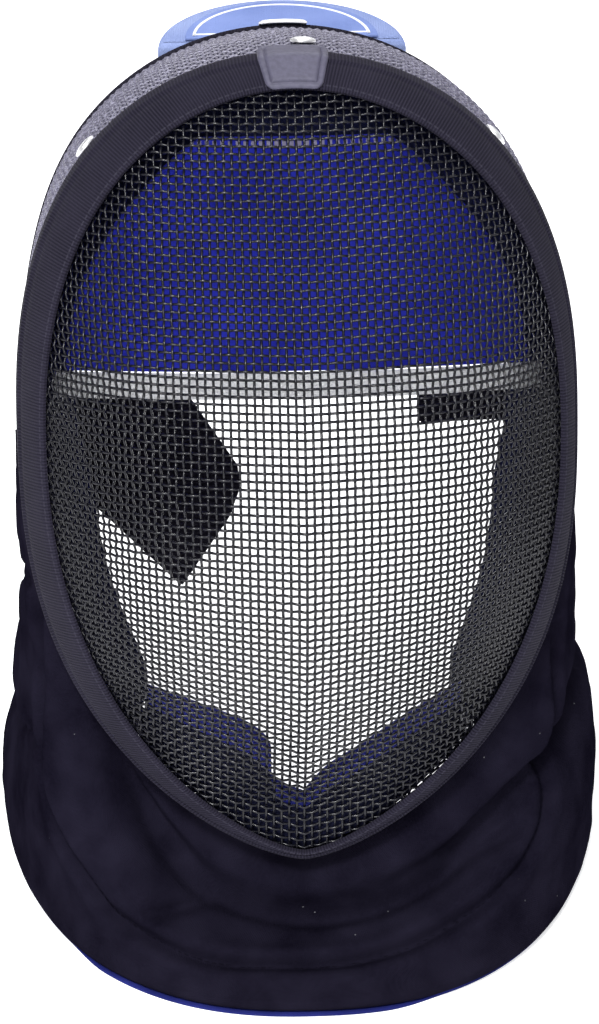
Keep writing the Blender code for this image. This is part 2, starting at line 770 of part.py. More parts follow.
def hem_inward(way):
    """Unit plan direction from the hem to the throat."""
    ahead = np.stack(hem_point(way + HEM_STEP, 0.0), -1)
    behind = np.stack(hem_point(way - HEM_STEP, 0.0), -1)
    along = unit(ahead - behind)
    return np.stack([-along[:, 1], along[:, 0]], -1)


def bib_proud(way):
    return BIB_PROUD * follow(BIB_SEAM, 1, np.abs(way))


def sideness(way):
    """0 at the front of the bib, 1 along its sides."""
    share = np.clip((np.abs(way) - SIDE_START) / SIDE_BLEND, 0, 1)
    return (share**2 * (3 - 2 * share))[:, None]


def bib_spread(way, drop):
    """Share of the way out from the upper edge to the hem, at each section and share of the drop."""
    side = np.where((way < 0)[:, None], follow(BIB_SPREAD, 1, drop), follow(BIB_SPREAD, 2, drop))
    return drop + (side - drop) * sideness(way)


def bib_grids():
    """Outer and inner skin of the bib, sections by stations, in the standing frame."""
    way = np.linspace(-1, 1, BIB_SECTIONS)
    hem_z = LINING_WALL + LINING_GAP
    top = bib_top(way, TRIM_GAP + TRIM_WALL + bib_proud(way))
    hem_x, hem_y = hem_point(way, 0.0)
    inward = hem_inward(way)
    drop = np.array(BIB_STATIONS)
    low = hem_z + HEM_EDGE
    z = top[:, 2:] + (low - top[:, 2:]) * drop
    x = top[:, :1] + (hem_x[:, None] - top[:, :1]) * bib_spread(way, drop)
    y = top[:, 1:2] + (hem_y[:, None] - top[:, 1:2]) * drop
    moved = -SKIRT_PUFF * np.sin(np.pi * drop) ** 2 * (1 - sideness(way))
    for fold in BIB_FOLDS:
        centre = follow(fold, 1, way)
        depth = FOLD_DEPTH * follow(fold, 2, way)
        depth = np.where((way < fold[0][0]) | (way > fold[-1][0]), 0, depth)
        level = top[:, 2] + (low - top[:, 2]) * centre
        moved = moved + depth[:, None] * np.exp(-(((z - level[:, None]) / FOLD_SPREAD) ** 2))
    moved[:, 0] = 0
    x = x + inward[:, :1] * moved
    y = y + inward[:, 1:] * moved
    skin = np.stack([x, y, z], -1)
    edge = np.stack([hem_x, hem_y, np.full(len(way), low)], -1)
    foot_x, foot_y = hem_point(way, LINING_LIP)
    foot = np.stack([foot_x, foot_y, np.full(len(way), hem_z)], -1)
    outer = np.concatenate([skin, edge[:, None], foot[:, None]], 1)
    around = np.gradient(outer, axis=0)
    down = np.gradient(outer, axis=1)
    normal = unit(np.cross(down, around))
    normal[:, -4:] = normal[:, -5:-4]
    normal[:, 1:] = unit(normal[:, 1:] + np.concatenate([normal[:, 2:], normal[:, -1:]], 1))
    if (normal[:, 3, :2] * inward).sum() > 0:
        normal = -normal
    return outer, normal


def bib_wall(way, stations):
    """Thickness of the bib at each section and station, thinner where it is sewn behind the trim."""
    seam = (TRIM_WALL + np.minimum(bib_proud(way), BIB_PROUD))[:, None]
    full = np.clip(np.arange(stations) / (SEAM_STATIONS * (1 + 0.5 * sideness(way))), 0, 1)
    return (seam + (BIB_WALL - seam) * full)[..., None]


def pressed(points, floor):
    """The same points, none lower than a height."""
    lifted = points.copy()
    lifted[..., 2] = np.maximum(lifted[..., 2], floor)
    return lifted


def make_bib(parent, look, lining_look):
    outer, normal = bib_grids()
    way = np.linspace(-1, 1, BIB_SECTIONS)
    hem_z = LINING_WALL + LINING_GAP
    inner = pressed(outer - normal * bib_wall(way, outer.shape[1]), hem_z)
    inner[:, 0] = bib_top(way, GAP + np.maximum(bib_proud(way) - BIB_PROUD, 0))
    wall("bib", outer, inner, look, parent)
    over = pressed(inner - normal * LINING_GAP, LINING_WALL)
    under = pressed(inner - normal * (LINING_GAP + LINING_WALL), 0.0)
    over[:, -1, 2] = LINING_WALL
    under[:, -1, 2] = 0.0
    lip_x, lip_y = hem_point(way, -LINING_LIP)
    lip = np.stack([lip_x, lip_y, np.full(len(way), LINING_WALL)], -1)
    over = np.concatenate([over[:, 2:], lip[:, None]], 1)
    lip_under = lip * np.array([1, 1, 0])
    under = np.concatenate([under[:, 2:], lip_under[:, None]], 1)
    wall("bib_lining", over, under, lining_look, parent)


def empty(name, parent=None):
    made = bpy.data.objects.new(name, None)
    made.parent = parent
    bpy.context.scene.collection.objects.link(made)
    return made


def centre_on_footprint(stand):
    """Moves the whole mask so that the middle of its outer box is over the origin."""
    bpy.context.view_layer.update()
    corners = []
    for item in bpy.context.scene.objects:
        if item.type == "MESH":
            corners += [item.matrix_world @ vertex.co for vertex in item.data.vertices]
    reach = np.array([tuple(corner) for corner in corners])
    middle = (reach.min(0) + reach.max(0)) / 2
    stand.location = (-middle[0], -middle[1], 0.0)


def main():
    clear_scene()
    steel = material("black_mesh", (0.045, 0.045, 0.055), 0.45, 0.4)
    ribbed = material("ribbed_trim", (0.040, 0.037, 0.055), 0.85)
    grey = material("grey_vinyl", (0.170, 0.160, 0.220), 0.55)
    bright = material("bright_steel", (0.850, 0.850, 0.860), 0.25, 1.0)
    navy = material("navy_lining", (0.012, 0.013, 0.040), 0.90)
    blue = material("blue_lining", (0.015, 0.020, 0.200), 0.85)
    sky = material("tongue_blue", (0.120, 0.250, 0.800), 0.60)
    patch = material("tongue_patch_blue", (0.090, 0.190, 0.700), 0.50)
    white = material("white_band", (0.750, 0.740, 0.780), 0.80)
    black = material("black_elastic", (0.012, 0.011, 0.016), 0.90)
    cloth = material("bib_cloth", (0.012, 0.011, 0.020), 0.92)
    binding = material("black_binding", (0.020, 0.019, 0.028), 0.80)

    stand = empty("stand")
    frame = empty("mask_frame", stand)
    frame.location = (0, 0, RING_HEIGHT)
    frame.rotation_euler = (-math.radians(LEAN), 0, 0)

    make_front_mesh(frame, steel)
    make_side_mesh(frame, steel)
    make_back_edge(frame, binding)
    make_trim(frame, ribbed)
    make_trim_tab(frame, grey)
    make_rivets(frame, bright)
    make_tongue(frame, sky)
    make_tongue_patch(frame, patch)
    make_tongue_plate(frame, bright)
    make_forehead_pad(frame, blue)
    make_sweat_band(frame, white)
    make_pads(frame, navy)
    make_chin_pad(frame, navy)
    make_straps(frame, black)
    make_bib(stand, cloth, blue)
    centre_on_footprint(stand)


main()
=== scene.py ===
"""Looks of a fencing mask: woven wire, ribbed trim, quilted bib, pads, straps and tongue.

Lengths are in metres and angles in degrees. The mask frame has X to the right, Y to the back and Z up,
with its origin at the middle of the trim ring. An angle goes round the ring from the right ear (0) over
the crown (90) to the left ear (180), and the chin is at -90.
"""

import math
from collections import namedtuple

import bmesh
import bpy
import numpy as np
from mathutils import Matrix, Vector, noise


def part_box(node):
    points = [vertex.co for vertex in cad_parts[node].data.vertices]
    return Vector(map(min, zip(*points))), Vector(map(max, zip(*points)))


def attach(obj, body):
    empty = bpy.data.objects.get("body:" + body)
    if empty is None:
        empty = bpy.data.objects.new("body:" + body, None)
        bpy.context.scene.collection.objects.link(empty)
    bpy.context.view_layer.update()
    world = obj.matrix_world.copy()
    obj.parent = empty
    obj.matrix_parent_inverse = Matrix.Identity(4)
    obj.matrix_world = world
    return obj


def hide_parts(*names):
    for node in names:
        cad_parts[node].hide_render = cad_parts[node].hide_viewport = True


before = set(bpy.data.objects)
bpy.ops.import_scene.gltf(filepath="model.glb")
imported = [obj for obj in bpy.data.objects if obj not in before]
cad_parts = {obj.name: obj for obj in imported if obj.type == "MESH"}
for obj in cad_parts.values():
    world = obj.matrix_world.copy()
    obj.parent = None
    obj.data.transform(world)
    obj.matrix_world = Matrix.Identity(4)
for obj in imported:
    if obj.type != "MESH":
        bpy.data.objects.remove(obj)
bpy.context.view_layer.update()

# Sizes of the solids, as in the part's own source
GAP = 0.0004
PAD_GAP = 0.0008
TRIM_GAP = 0.0008
LEAN = 19.3
RING_HEIGHT = 0.2032
RING_HALF_WIDTH = 0.1113
RING_TOP = 0.162
RING_CHIN = 0.162
RING_WIDEST = 0.015
MESH_WALL = 0.0020
FRONT_BULGE = 0.072
FRONT_FLATNESS = 3.5
SIDE_DEPTH = 0.112
CROWN_RISE = 0.0055
CROWN_BULGE = 0.0060
TRIM_WALL = 0.0021
TRIM_REAR = 0.010
TRIM_FACE_TOP = 0.0130
TRIM_FACE_SIDE = 0.0106
TRIM_FACE_CHIN = 0.0045
TRIM_FACE_SHIFT = 0.0019
TAB_WALL = 0.0013
TAB_HALF_WIDTH = 0.0138
BINDING_WALL = 0.0015
BINDING_WIDTH = 0.0090
RIVET_RADIUS = 0.0052
RIVET_RISE = 0.0020
RIVET_SPOTS = {
    "rivet_top": (88.0, 0.0180),
    "rivet_left": (131.0, 0.0070),
    "rivet_right": (50.0, 0.0070),
}
TONGUE_RADIUS = 0.052
TONGUE_WALL = 0.0090
TONGUE_ROUND = 0.0030
TONGUE_PITCH = 17.5
TONGUE_DROP = 0.0012
NECK_HALF_WIDTH = 0.018
NECK_LENGTH = 0.028
PATCH_MARGIN = 0.0116
PATCH_WALL = 0.0012
PLATE_HALF_WIDTH = 0.0095
PLATE_LENGTH = 0.0120
PLATE_WALL = 0.0015
FOREHEAD_HALF_WIDTH = 0.092
FOREHEAD_BOTTOM = 0.0400
FOREHEAD_HEIGHT = 0.0910
FOREHEAD_RIM = -0.0020
FOREHEAD_BULGE = 0.0160
FOREHEAD_WALL = 0.0060
FOREHEAD_FILL = 0.0060
BAND_HEIGHT = 0.0105
BAND_WALL = 0.0030
BAND_HALF_LENGTH = 0.0965
BAND_SETBACK = 0.0010
PAD_FRONT = 0.0044
SIDE_PAD_MARGIN = 0.0130
CROWN_PAD_MARGIN = 0.0300
CROWN_PAD_WALL = 0.0160
CROWN_PAD_EXTRA = 0.0140
CROWN_PAD_END = 15.2
SIDE_PAD_WALL = 0.0180
SIDE_PAD_TOP = 14.6
SIDE_PAD_BOTTOM = -46.0
CHIN_PAD_WALL = 0.0120
CHIN_PAD_FRONT = 0.0030
CHIN_PAD_LEAN = 0.0090
CHIN_PAD_INSET = 0.0012
CHIN_PAD_END_INSET = 0.0050
CHIN_PAD_TURN = 41
BIB_WALL = 0.0070
BIB_PROUD = 0.0029
BIB_EAR_DEPTH = 0.0740
BIB_EAR_DROP = 8.0
BIB_EAR_SHARE = 0.80
HEM_HALF_WIDTH = 0.1285
HEM_SHIFT = 0.0024
HEM_DEPTH = 0.1826
HEM_WIDEST = 0.0906
HEM_POWER = 2.35
HEM_SWEEP = 98
HEM_EDGE = 0.0040
HEM_STEP = 0.01
FOLD_DEPTH = 0.0190
FOLD_SPREAD = 0.0105
SKIRT_PUFF = 0.0035
SIDE_START = 0.45
SIDE_BLEND = 0.25
LINING_WALL = 0.0012
LINING_GAP = 0.0014
LINING_LIP = 0.0008

# Woven wire: radii, how far a wire swings over and under, pitch of the upright and of the level
# wires, how far the front ones are laid out from the middle, the ends of the side panel, the sides of
# a wire's section and its bits from one crossing to the next
WIRE_RADIUS = 0.00055
WIRE_SWING = 0.00056
FRONT_WIRE_RADIUS = 0.00056
COLUMN_PITCH = 0.00315
ROW_PITCH = 0.00325
WEAVE_REACH = 0.25
SIDE_PANEL_ENDS = (-54, 234)
WIRE_SIDES = 5
WIRE_BITS = 2

# Cloth details
RIB_PITCH = 0.00130
STITCH_PITCH = 0.0030
SEAM_DEPTH = 0.0034
SEAM_SPREAD = 0.0027
ROLL_OFFSET = 0.0060
ROLL_SPREAD = 0.0040
PUCKERS = 120
PUCKER_HEIGHT = 0.00025
HEM_PUFF = 0.0014
HEM_COVER = 0.0009
TRIM_CROWN = 0.00030
TRIM_GROOVE = 0.00070
THREAD_HALF_WIDTH = 0.0004
SLOW_WAVE = 0.0019
FINE_WAVE = 0.0006
HEM_ROLL = 0.0016
STRAP_ROUND = 0.0006
PILLOW_POWER = 9
PILLOW_RIM = 0.02
LIP_HEIGHT = 0.0014
LIP_TUCK = 0.0022
LIP_INSET = 0.0007

# Camera
CAMERA_DISTANCE = 1.600
CAMERA_ELEVATION = 30.0
CAMERA_TURN = 2.5
CAMERA_LENS = 141.2
CAMERA_AIM = (0.0, 0.0, -0.019)

# Soft lights: name, place, target, size, power in watts
SOFT_LIGHTS = (
    ("key", (-0.5, -1.4, 2.2), (0, 0, 0.18), (0.5, 0.5), 48),
    ("fill", (-0.6, -1.9, 0.9), (0, 0, 0.22), (0.8, 0.8), 11),
    ("rim", (0.3, 1.3, 1.6), (0, 0, 0.25), (1.4, 0.8), 20),
)

# Snap cap: share of its height, share of its radius
CAP_PROFILE = (
    (0.00, 1.00),
    (0.30, 1.00),
    (0.48, 0.95),
    (0.50, 0.86),
    (0.62, 0.84),
    (0.82, 0.66),
    (0.94, 0.42),
    (1.00, 0.15),
)

# Front profile down the middle: share of the height below the top, share of the bulge
FRONT_PROFILE = (
    (0.000, 0.000),
    (0.080, 0.270),
    (0.225, 0.600),
    (0.426, 0.944),
    (0.540, 1.000),
    (0.651, 0.910),
    (0.775, 0.660),
    (0.880, 0.310),
    (0.948, 0.075),
    (1.000, 0.000),
)

# Soft crease of the front: share of the height below the top, share of the depth that falls straight
FRONT_CREASE = ((0.00, 0.00), (0.35, 0.06), (0.60, 0.16), (0.80, 0.30), (1.00, 0.20))

# How the level wires rise away from the crease: share of the height below the top, slope
ROW_RISE = ((0.00, 0.02), (0.50, 0.04), (0.65, 0.08), (0.75, 0.14), (0.84, 0.20), (1.00, 0.20))

# Side panel: height angle, share of the rise at the back, share of the bulge, share of the depth
SIDE_SHAPE = (
    (-90, -0.9, -0.3, 0.30),
    (-54, -0.9, -0.3, 0.40),
    (-24, -0.9, -0.3, 0.60),
    (-12, -0.8, -0.3, 0.72),
    (0, -0.1, 0.3, 0.84),
    (25, 0.2, 0.5, 0.96),
    (50, 0.7, 0.9, 1.00),
    (90, 1.0, 1.0, 1.00),
)

# Forehead pad: share of its height, share of its half width, share of its bulge
FOREHEAD_OUTLINE = (
    (0.00, 1.00, 1.00),
    (0.30, 0.95, 0.95),
    (0.55, 0.83, 0.80),
    (0.80, 0.63, 0.60),
    (0.93, 0.50, 0.50),
    (1.00, 0.40, 0.45),
)

# Upper edge of the chin pad: angle from the chin, then on the left and on the right the share of the
# ring's half width and the share of its chin depth
CHIN_EDGE = (
    (0, 0.000, 0.825, 0.000, 0.825),
    (5, 0.068, 0.804, 0.043, 0.790),
    (9, 0.121, 0.764, 0.085, 0.762),
    (12, 0.115, 0.713, 0.120, 0.745),
    (15, 0.127, 0.688, 0.157, 0.730),
    (20, 0.191, 0.648, 0.218, 0.704),
    (31, 0.370, 0.594, 0.364, 0.638),
    (36, 0.495, 0.559, 0.497, 0.583),
    (42, 0.575, 0.539, 0.590, 0.546),
)

# Folds of the bib: share of the way round (left is negative), share of the drop, share of the depth
BIB_FOLDS = (
    (
        (-0.44, 0.03, 0.00),
        (-0.34, 0.22, 0.55),
        (-0.20, 0.46, 0.85),
        (0.00, 0.56, 1.00),
        (0.24, 0.50, 0.85),
        (0.42, 0.42, 0.55),
        (0.55, 0.49, 0.40),
        (0.70, 0.56, 0.22),
        (1.00, 0.66, 0.20),
    ),
    ((-1.00, 0.34, 0.15), (-0.80, 0.33, 0.15), (-0.66, 0.30, 0.12), (-0.52, 0.26, 0.00)),
    ((-1.00, 0.76, 0.14), (-0.80, 0.74, 0.16), (-0.62, 0.66, 0.14), (-0.46, 0.58, 0.00)),
)

# Stitched seam of the bib: share of the way round, share of the drop
SEAM_LINE = (
    (-0.600, 0.02),
    (-0.612, 0.25),
    (-0.598, 0.43),
    (-0.570, 0.58),
    (-0.510, 0.64),
    (-0.445, 0.67),
    (-0.400, 0.71),
    (-0.350, 0.75),
    (-0.206, 0.78),
    (-0.089, 0.80),
    (0.022, 0.81),
    (0.144, 0.77),
    (0.244, 0.715),
    (0.339, 0.675),
    (0.417, 0.64),
    (0.478, 0.59),
    (0.540, 0.52),
    (0.572, 0.35),
    (0.585, 0.10),
)

# Creases of the bib: depth, spread, then share of the way round and share of the drop along each
BIB_CREASES = (
    (
        0.0048,
        0.0040,
        (
            (-0.40, 0.05),
            (-0.34, 0.26),
            (-0.28, 0.40),
            (-0.20, 0.51),
            (-0.06, 0.565),
            (0.04, 0.585),
            (0.19, 0.565),
            (0.28, 0.52),
            (0.36, 0.44),
            (0.44, 0.43),
            (0.55, 0.47),
            (0.70, 0.56),
            (0.85, 0.64),
        ),
    ),
    (0.0036, 0.0032, ((-0.30, 0.66), (-0.245, 0.57), (-0.194, 0.526))),
    (0.0034, 0.0032, ((0.25, 0.56), (0.356, 0.505), (0.45, 0.52))),
    (0.0030, 0.0026, ((-0.60, 0.00), (-0.70, 0.16), (-0.80, 0.32), (-0.95, 0.42))),
    (0.0028, 0.0026, ((-0.60, 0.50), (-0.68, 0.57), (-0.78, 0.72), (-0.95, 0.82))),
    (0.0024, 0.0026, ((0.62, 0.53), (0.74, 0.58), (0.86, 0.64), (0.95, 0.66))),
)

# Where the blue lining shows under the hem: share of the way round, share of its tuck
LIP_SHOWS = ((-1.0, 1.0), (-0.50, 1.0), (-0.38, 0.0), (0.10, 0.0), (0.22, 1.0), (1.0, 1.0))

# How proud of the trim the bib's upper edge lies: share of the way round, share of the proud height
BIB_SEAM = ((0.00, 1.0), (0.40, 1.0), (0.58, 0.3), (0.82, 0.2), (0.92, 0.9), (1.00, 1.8))

# How far the sides of the bib have spread to the hem: share of the drop, left share, right share
BIB_SPREAD = (
    (0.00, 0.00, 0.00),
    (0.12, 0.04, 0.05),
    (0.25, 0.06, 0.08),
    (0.45, 0.06, 0.20),
    (0.65, 0.42, 0.66),
    (0.75, 0.55, 0.90),
    (0.82, 0.58, 0.97),
    (1.00, 1.00, 1.00),
)

# Ring edges: sizes, and the powers that round the crown and the jaw
Edge = namedtuple("Edge", "half_width top chin crown_power crown_round jaw_power jaw_round shift")
RING = Edge(RING_HALF_WIDTH, RING_TOP, RING_CHIN, 2.55, 0.48, 2.5, 0.68, 0.0)
BORDER_INSET = TRIM_WALL + TRIM_GAP
BORDER = RING._replace(
    half_width=RING_HALF_WIDTH - BORDER_INSET,
    top=RING_TOP - BORDER_INSET,
    chin=RING_CHIN - BORDER_INSET,
)
TRIM_FACE = Edge(
    RING_HALF_WIDTH - TRIM_FACE_SIDE,
    RING_TOP - TRIM_FACE_TOP,
    RING_CHIN - TRIM_FACE_CHIN,
    2.3,
    0.50,
    2.2,
    0.68,
    TRIM_FACE_SHIFT,
)

# Where the solids stand: the left and the front of the lining's lip give the shift of the whole mask
LINING_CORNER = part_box("bib_lining")[0]
SHIFT_X = LINING_CORNER[0] - (HEM_SHIFT - HEM_HALF_WIDTH - LINING_LIP)
SHIFT_Y = LINING_CORNER[1] - (HEM_WIDEST - HEM_DEPTH - LINING_LIP)


# Shapes shared with the solids


def follow(table, column, at):
    """A column of a table, read smoothly between its rows by the first column, without overshoot."""
    rows = np.array(table, float)
    keys, values = rows[:, 0], rows[:, column]
    step = np.diff(keys)
    rise = np.diff(values) / step
    slope = np.zeros(len(keys))
    slope[0] = rise[0]
    slope[-1] = rise[-1]
    product = rise[:-1] * rise[1:]
    total = np.where(product > 0, rise[:-1] + rise[1:], 1.0)
    slope[1:-1] = np.where(product > 0, 2 * product / total, 0.0)
    at = np.clip(at, keys[0], keys[-1])
    row = np.clip(np.searchsorted(keys, at, side="right") - 1, 0, len(keys) - 2)
    t = (at - keys[row]) / step[row]
    start = values[row] * (1 + 2 * t) * (1 - t) ** 2 + slope[row] * step[row] * t * (1 - t) ** 2
    end = values[row + 1] * t**2 * (3 - 2 * t) + slope[row + 1] * step[row] * t**2 * (t - 1)
    return start + end


def unit(vectors):
    return vectors / np.maximum(np.linalg.norm(vectors, axis=-1, keepdims=True), 1e-12)


def edge_point(edge, angle):
    """X and Z of a ring edge at an angle."""
    rise = np.sin(np.radians(angle))
    share = np.abs(rise)
    upper = rise >= 0
    power = np.where(upper, edge.crown_power, edge.jaw_power)
    rounding = np.where(upper, edge.crown_round, edge.jaw_round)
    reach = np.where(upper, edge.top - RING_WIDEST, edge.chin + RING_WIDEST)
    width = edge.half_width * np.maximum(1 - share**power, 0) ** rounding
    x = edge.shift * np.sqrt(np.maximum(1 - share**2, 0)) + np.sign(np.cos(np.radians(angle))) * width
    return x, RING_WIDEST + reach * rise


def edge_width(edge, z):
    """Half width of a ring edge at a height."""
    upper = z >= RING_WIDEST
    reach = np.where(upper, edge.top - RING_WIDEST, edge.chin + RING_WIDEST)
    share = np.clip(np.abs(z - RING_WIDEST) / reach, 0, 1)
    power = np.where(upper, edge.crown_power, edge.jaw_power)
    rounding = np.where(upper, edge.crown_round, edge.jaw_round)
    return edge.half_width * (1 - share**power) ** rounding


def edge_outward(angle):
    """Unit X and Z pointing out of the border at an angle."""
    ahead = edge_point(BORDER, angle + 0.5)
    behind = edge_point(BORDER, angle - 0.5)
    return unit(np.stack([ahead[1] - behind[1], behind[0] - ahead[0]], -1))


def front_surface(x, z):
    """Y of the outside of the front panel."""
    down = np.clip((BORDER.top - z) / (BORDER.top + BORDER.chin), 0, 1)
    depth = FRONT_BULGE * follow(FRONT_PROFILE, 1, down)
    crease = follow(FRONT_CREASE, 1, down)
    side = np.clip(np.abs(x) / np.maximum(edge_width(BORDER, z), 1e-6), 0, 1)
    return -depth * (1 - crease * side - (1 - crease) * side**FRONT_FLATNESS)


def front_normal(x, z):
    step = 0.0005
    across = (front_surface(x + step, z) - front_surface(x - step, z)) / (2 * step)
    above = np.minimum(z + step, BORDER.top)
    below = np.maximum(z - step, -BORDER.chin)
    along = (front_surface(x, above) - front_surface(x, below)) / (above - below)
    return unit(np.stack([across, -np.ones_like(across), along], -1))


def front_point(x, z, lift):
    """A point over the front panel, or under it where lift is negative."""
    lift = np.asarray(lift, float)[..., None]
    return np.stack([x, front_surface(x, z), z], -1) + front_normal(x, z) * lift


def height_angle(angle):
    """Angle above the ears, the same on both sides."""
    return np.degrees(np.arcsin(np.sin(np.radians(angle))))


def side_depth(angle):
    return SIDE_DEPTH * follow(SIDE_SHAPE, 3, height_angle(angle))


def side_point(angle, y, lift):
    """A point over the outside of the side panel, or under it where lift is negative."""
    x, z = edge_point(BORDER, angle)
    outward = edge_outward(angle)
    share = y / SIDE_DEPTH
    rise = CROWN_RISE * follow(SIDE_SHAPE, 1, height_angle(angle)) * share
    bulge = CROWN_BULGE * follow(SIDE_SHAPE, 2, height_angle(angle)) * 4 * share * (1 - share)
    out = rise + bulge + lift
    return np.stack([x + outward[..., 0] * out, y + 0 * x, z + outward[..., 1] * out], -1)


def stand_up(points):
    """Mask frame to the frame of the solids."""
    lean = math.radians(LEAN)
    x, y, z = points[..., 0], points[..., 1], points[..., 2]
    back = y * math.cos(lean) + z * math.sin(lean) + SHIFT_Y
    return np.stack([x + SHIFT_X, back, RING_HEIGHT - y * math.sin(lean) + z * math.cos(lean)], -1)


MASK_FRAME = Matrix.Translation((SHIFT_X, SHIFT_Y, RING_HEIGHT)) @ Matrix.Rotation(
    -math.radians(LEAN), 4, "X"
)


# Meshes


def grid_faces(sections, stations, ring=False, start=0):
    i = np.arange(sections if ring else sections - 1)[:, None]
    j = np.arange(stations - 1)[None, :]
    here = i * stations + j
    there = (i + 1) % sections * stations + j
    return start + np.stack([here, there, there + 1, here + 1], -1).reshape(-1, 4)


def grid_uv(points):
    """Lengths along and across a grid, in metres."""
    along = np.linalg.norm(np.diff(points, axis=0), axis=-1).mean(1)
    across = np.linalg.norm(np.diff(points, axis=1), axis=-1)
    u = np.concatenate([[0.0], np.cumsum(along)])
    v = np.concatenate([np.zeros((len(points), 1)), np.cumsum(across, 1)], 1)
    return np.stack([u[:, None] + 0 * v, v], -1)


def add_mesh(name, points, faces, look, uv=None, sharp=50, tidy=True):
    mesh = bpy.data.meshes.new(name)
    mesh.from_pydata(points.tolist(), [], [tuple(face) for face in faces])
    if uv is not None:
        layer = mesh.uv_layers.new(name="Lengths")
        corners = np.zeros(len(mesh.loops), np.int32)
        mesh.loops.foreach_get("vertex_index", corners)
        layer.data.foreach_set("uv", uv[corners].astype(np.float32).ravel())
    if tidy:
        work = bmesh.new()
        work.from_mesh(mesh)
        bmesh.ops.recalc_face_normals(work, faces=work.faces)
        work.to_mesh(mesh)
        work.free()
    mesh.shade_smooth()
    mesh.set_sharp_from_angle(angle=math.radians(sharp))
    mesh.materials.append(look)
    made = bpy.data.objects.new(name, mesh)
    bpy.context.scene.collection.objects.link(made)
    return made


def shell(name, outer, inner, look, ring=False, uv=None, sharp=50):
    """A closed wall between two grids of sections by stations, joined round its borders."""
    sections, stations = outer.shape[:2]
    count = sections * stations
    faces = [grid_faces(sections, stations, ring), grid_faces(sections, stations, ring, count)[:, ::-1]]
    i = np.arange(sections if ring else sections - 1)
    there = (i + 1) % sections
    for j in (0, stations - 1):
        here = i * stations + j
        beside = there * stations + j
        faces.append(np.stack([here, beside, count + beside, count + here], -1))
    if not ring:
        j = np.arange(stations - 1)
        for i in (0, sections - 1):
            here = i * stations + j
            faces.append(np.stack([here, here + 1, count + here + 1, count + here], -1))
    points = np.concatenate([outer.reshape(-1, 3), inner.reshape(-1, 3)])
    lengths = grid_uv(outer).reshape(-1, 2) if uv is None else uv.reshape(-1, 2)
    return add_mesh(name, points, np.concatenate(faces), look, np.concatenate([lengths, lengths]), sharp)


def loft(name, loops, look, uv=None, sharp=50, caps=True):
    """A closed solid through closed loops, capped at both ends."""
    sections, count = loops.shape[:2]
    i = np.arange(sections - 1)[:, None]
    j = np.arange(count)[None, :]
    after = (j + 1) % count
    sides = np.stack([i * count + j, i * count + after, (i + 1) * count + after, (i + 1) * count + j], -1)
    faces = sides.reshape(-1, 4).tolist()
    if caps:
        faces.append(list(range(count)))
        faces.append(list(range((sections - 1) * count, sections * count)))
    return add_mesh(name, loops.reshape(-1, 3), faces, look, uv, sharp)


def tubes(name, paths, radius, look):
    """Open round wires along paths, each given by its points and the surface normals there."""
    turns = np.arange(WIRE_SIDES) * 2 * math.pi / WIRE_SIDES
    points, faces, start = [], [], 0
    for path, normals in paths:
        along = unit(np.gradient(path, axis=0))
        side = unit(np.cross(along, normals))
        up = np.cross(side, along)
        rings = path[:, None] + radius * (
            np.cos(turns)[None, :, None] * up[:, None] + np.sin(turns)[None, :, None] * side[:, None]
        )
        points.append(rings.reshape(-1, 3))
        i = np.arange(len(path) - 1)[:, None] * WIRE_SIDES
        j = np.arange(WIRE_SIDES)[None, :]
        after = (j + 1) % WIRE_SIDES
        quads = np.stack([i + j, i + after, i + WIRE_SIDES + after, i + WIRE_SIDES + j], -1)
        faces.append(start + quads.reshape(-1, 4))
        start += len(path) * WIRE_SIDES
    return add_mesh(name, np.concatenate(points), np.concatenate(faces), look, sharp=180, tidy=False)


def piece(made, node):
    """Hangs a piece under the root body and hides the solid that it stands for."""
    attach(made, "root")
    if node:
        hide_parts(node)


# Materials


def look(name, colour, roughness, metallic=0.0, gloss=0.5, sheen=0.0):
    made = bpy.data.materials.new(name)
    made.use_nodes = True
    shader = made.node_tree.nodes["Principled BSDF"]
    shader.inputs["Base Color"].default_value = (*colour, 1.0)
    shader.inputs["Roughness"].default_value = roughness
    shader.inputs["Metallic"].default_value = metallic
    shader.inputs["Specular IOR Level"].default_value = gloss
    shader.inputs["Sheen Weight"].default_value = sheen
    return made, made.node_tree, shader


def add_node(tree, kind, inputs=None, **settings):
    made = tree.nodes.new(kind)
    for key, value in settings.items():
        setattr(made, key, value)
    for key, value in (inputs or {}).items():
        if isinstance(value, bpy.types.NodeSocket):
            tree.links.new(value, made.inputs[key])
        else:
            made.inputs[key].default_value = value
    return made


def calc(tree, operation, a, b=0.0):
    return add_node(tree, "ShaderNodeMath", {0: a, 1: b}, operation=operation).outputs[0]


def blend(tree, factor, one, other):
    made = add_node(tree, "ShaderNodeMix", data_type="RGBA")
    tree.links.new(factor, made.inputs[0])
    for socket, value in ((made.inputs[6], one), (made.inputs[7], other)):
        if isinstance(value, bpy.types.NodeSocket):
            tree.links.new(value, socket)
        else:
            socket.default_value = (*value, 1.0)
    return made.outputs[2]


def lengths(tree):
    """The two lengths of the surface's own grid, in metres."""
    split = add_node(tree, "ShaderNodeSeparateXYZ", {0: add_node(tree, "ShaderNodeUVMap").outputs[0]})
    return split.outputs[0], split.outputs[1]


def place(tree):
    return add_node(tree, "ShaderNodeTexCoord").outputs["Object"]


def speckle(tree, scale, low, high, detail=3.0, vector=None):
    """Noise between 0 and 1 with its contrast set."""
    made = add_node(
        tree, "ShaderNodeTexNoise", {"Vector": vector or place(tree), "Scale": scale, "Detail": detail}
    )
    spread = add_node(tree, "ShaderNodeMapRange", {0: made.outputs[0], 1: low, 2: high})
    return spread.outputs[0]


def ripple(tree, value, pitch):
    """A sine along a length, from -1 to 1."""
    return calc(tree, "SINE", calc(tree, "MULTIPLY", value, 2 * math.pi / pitch))


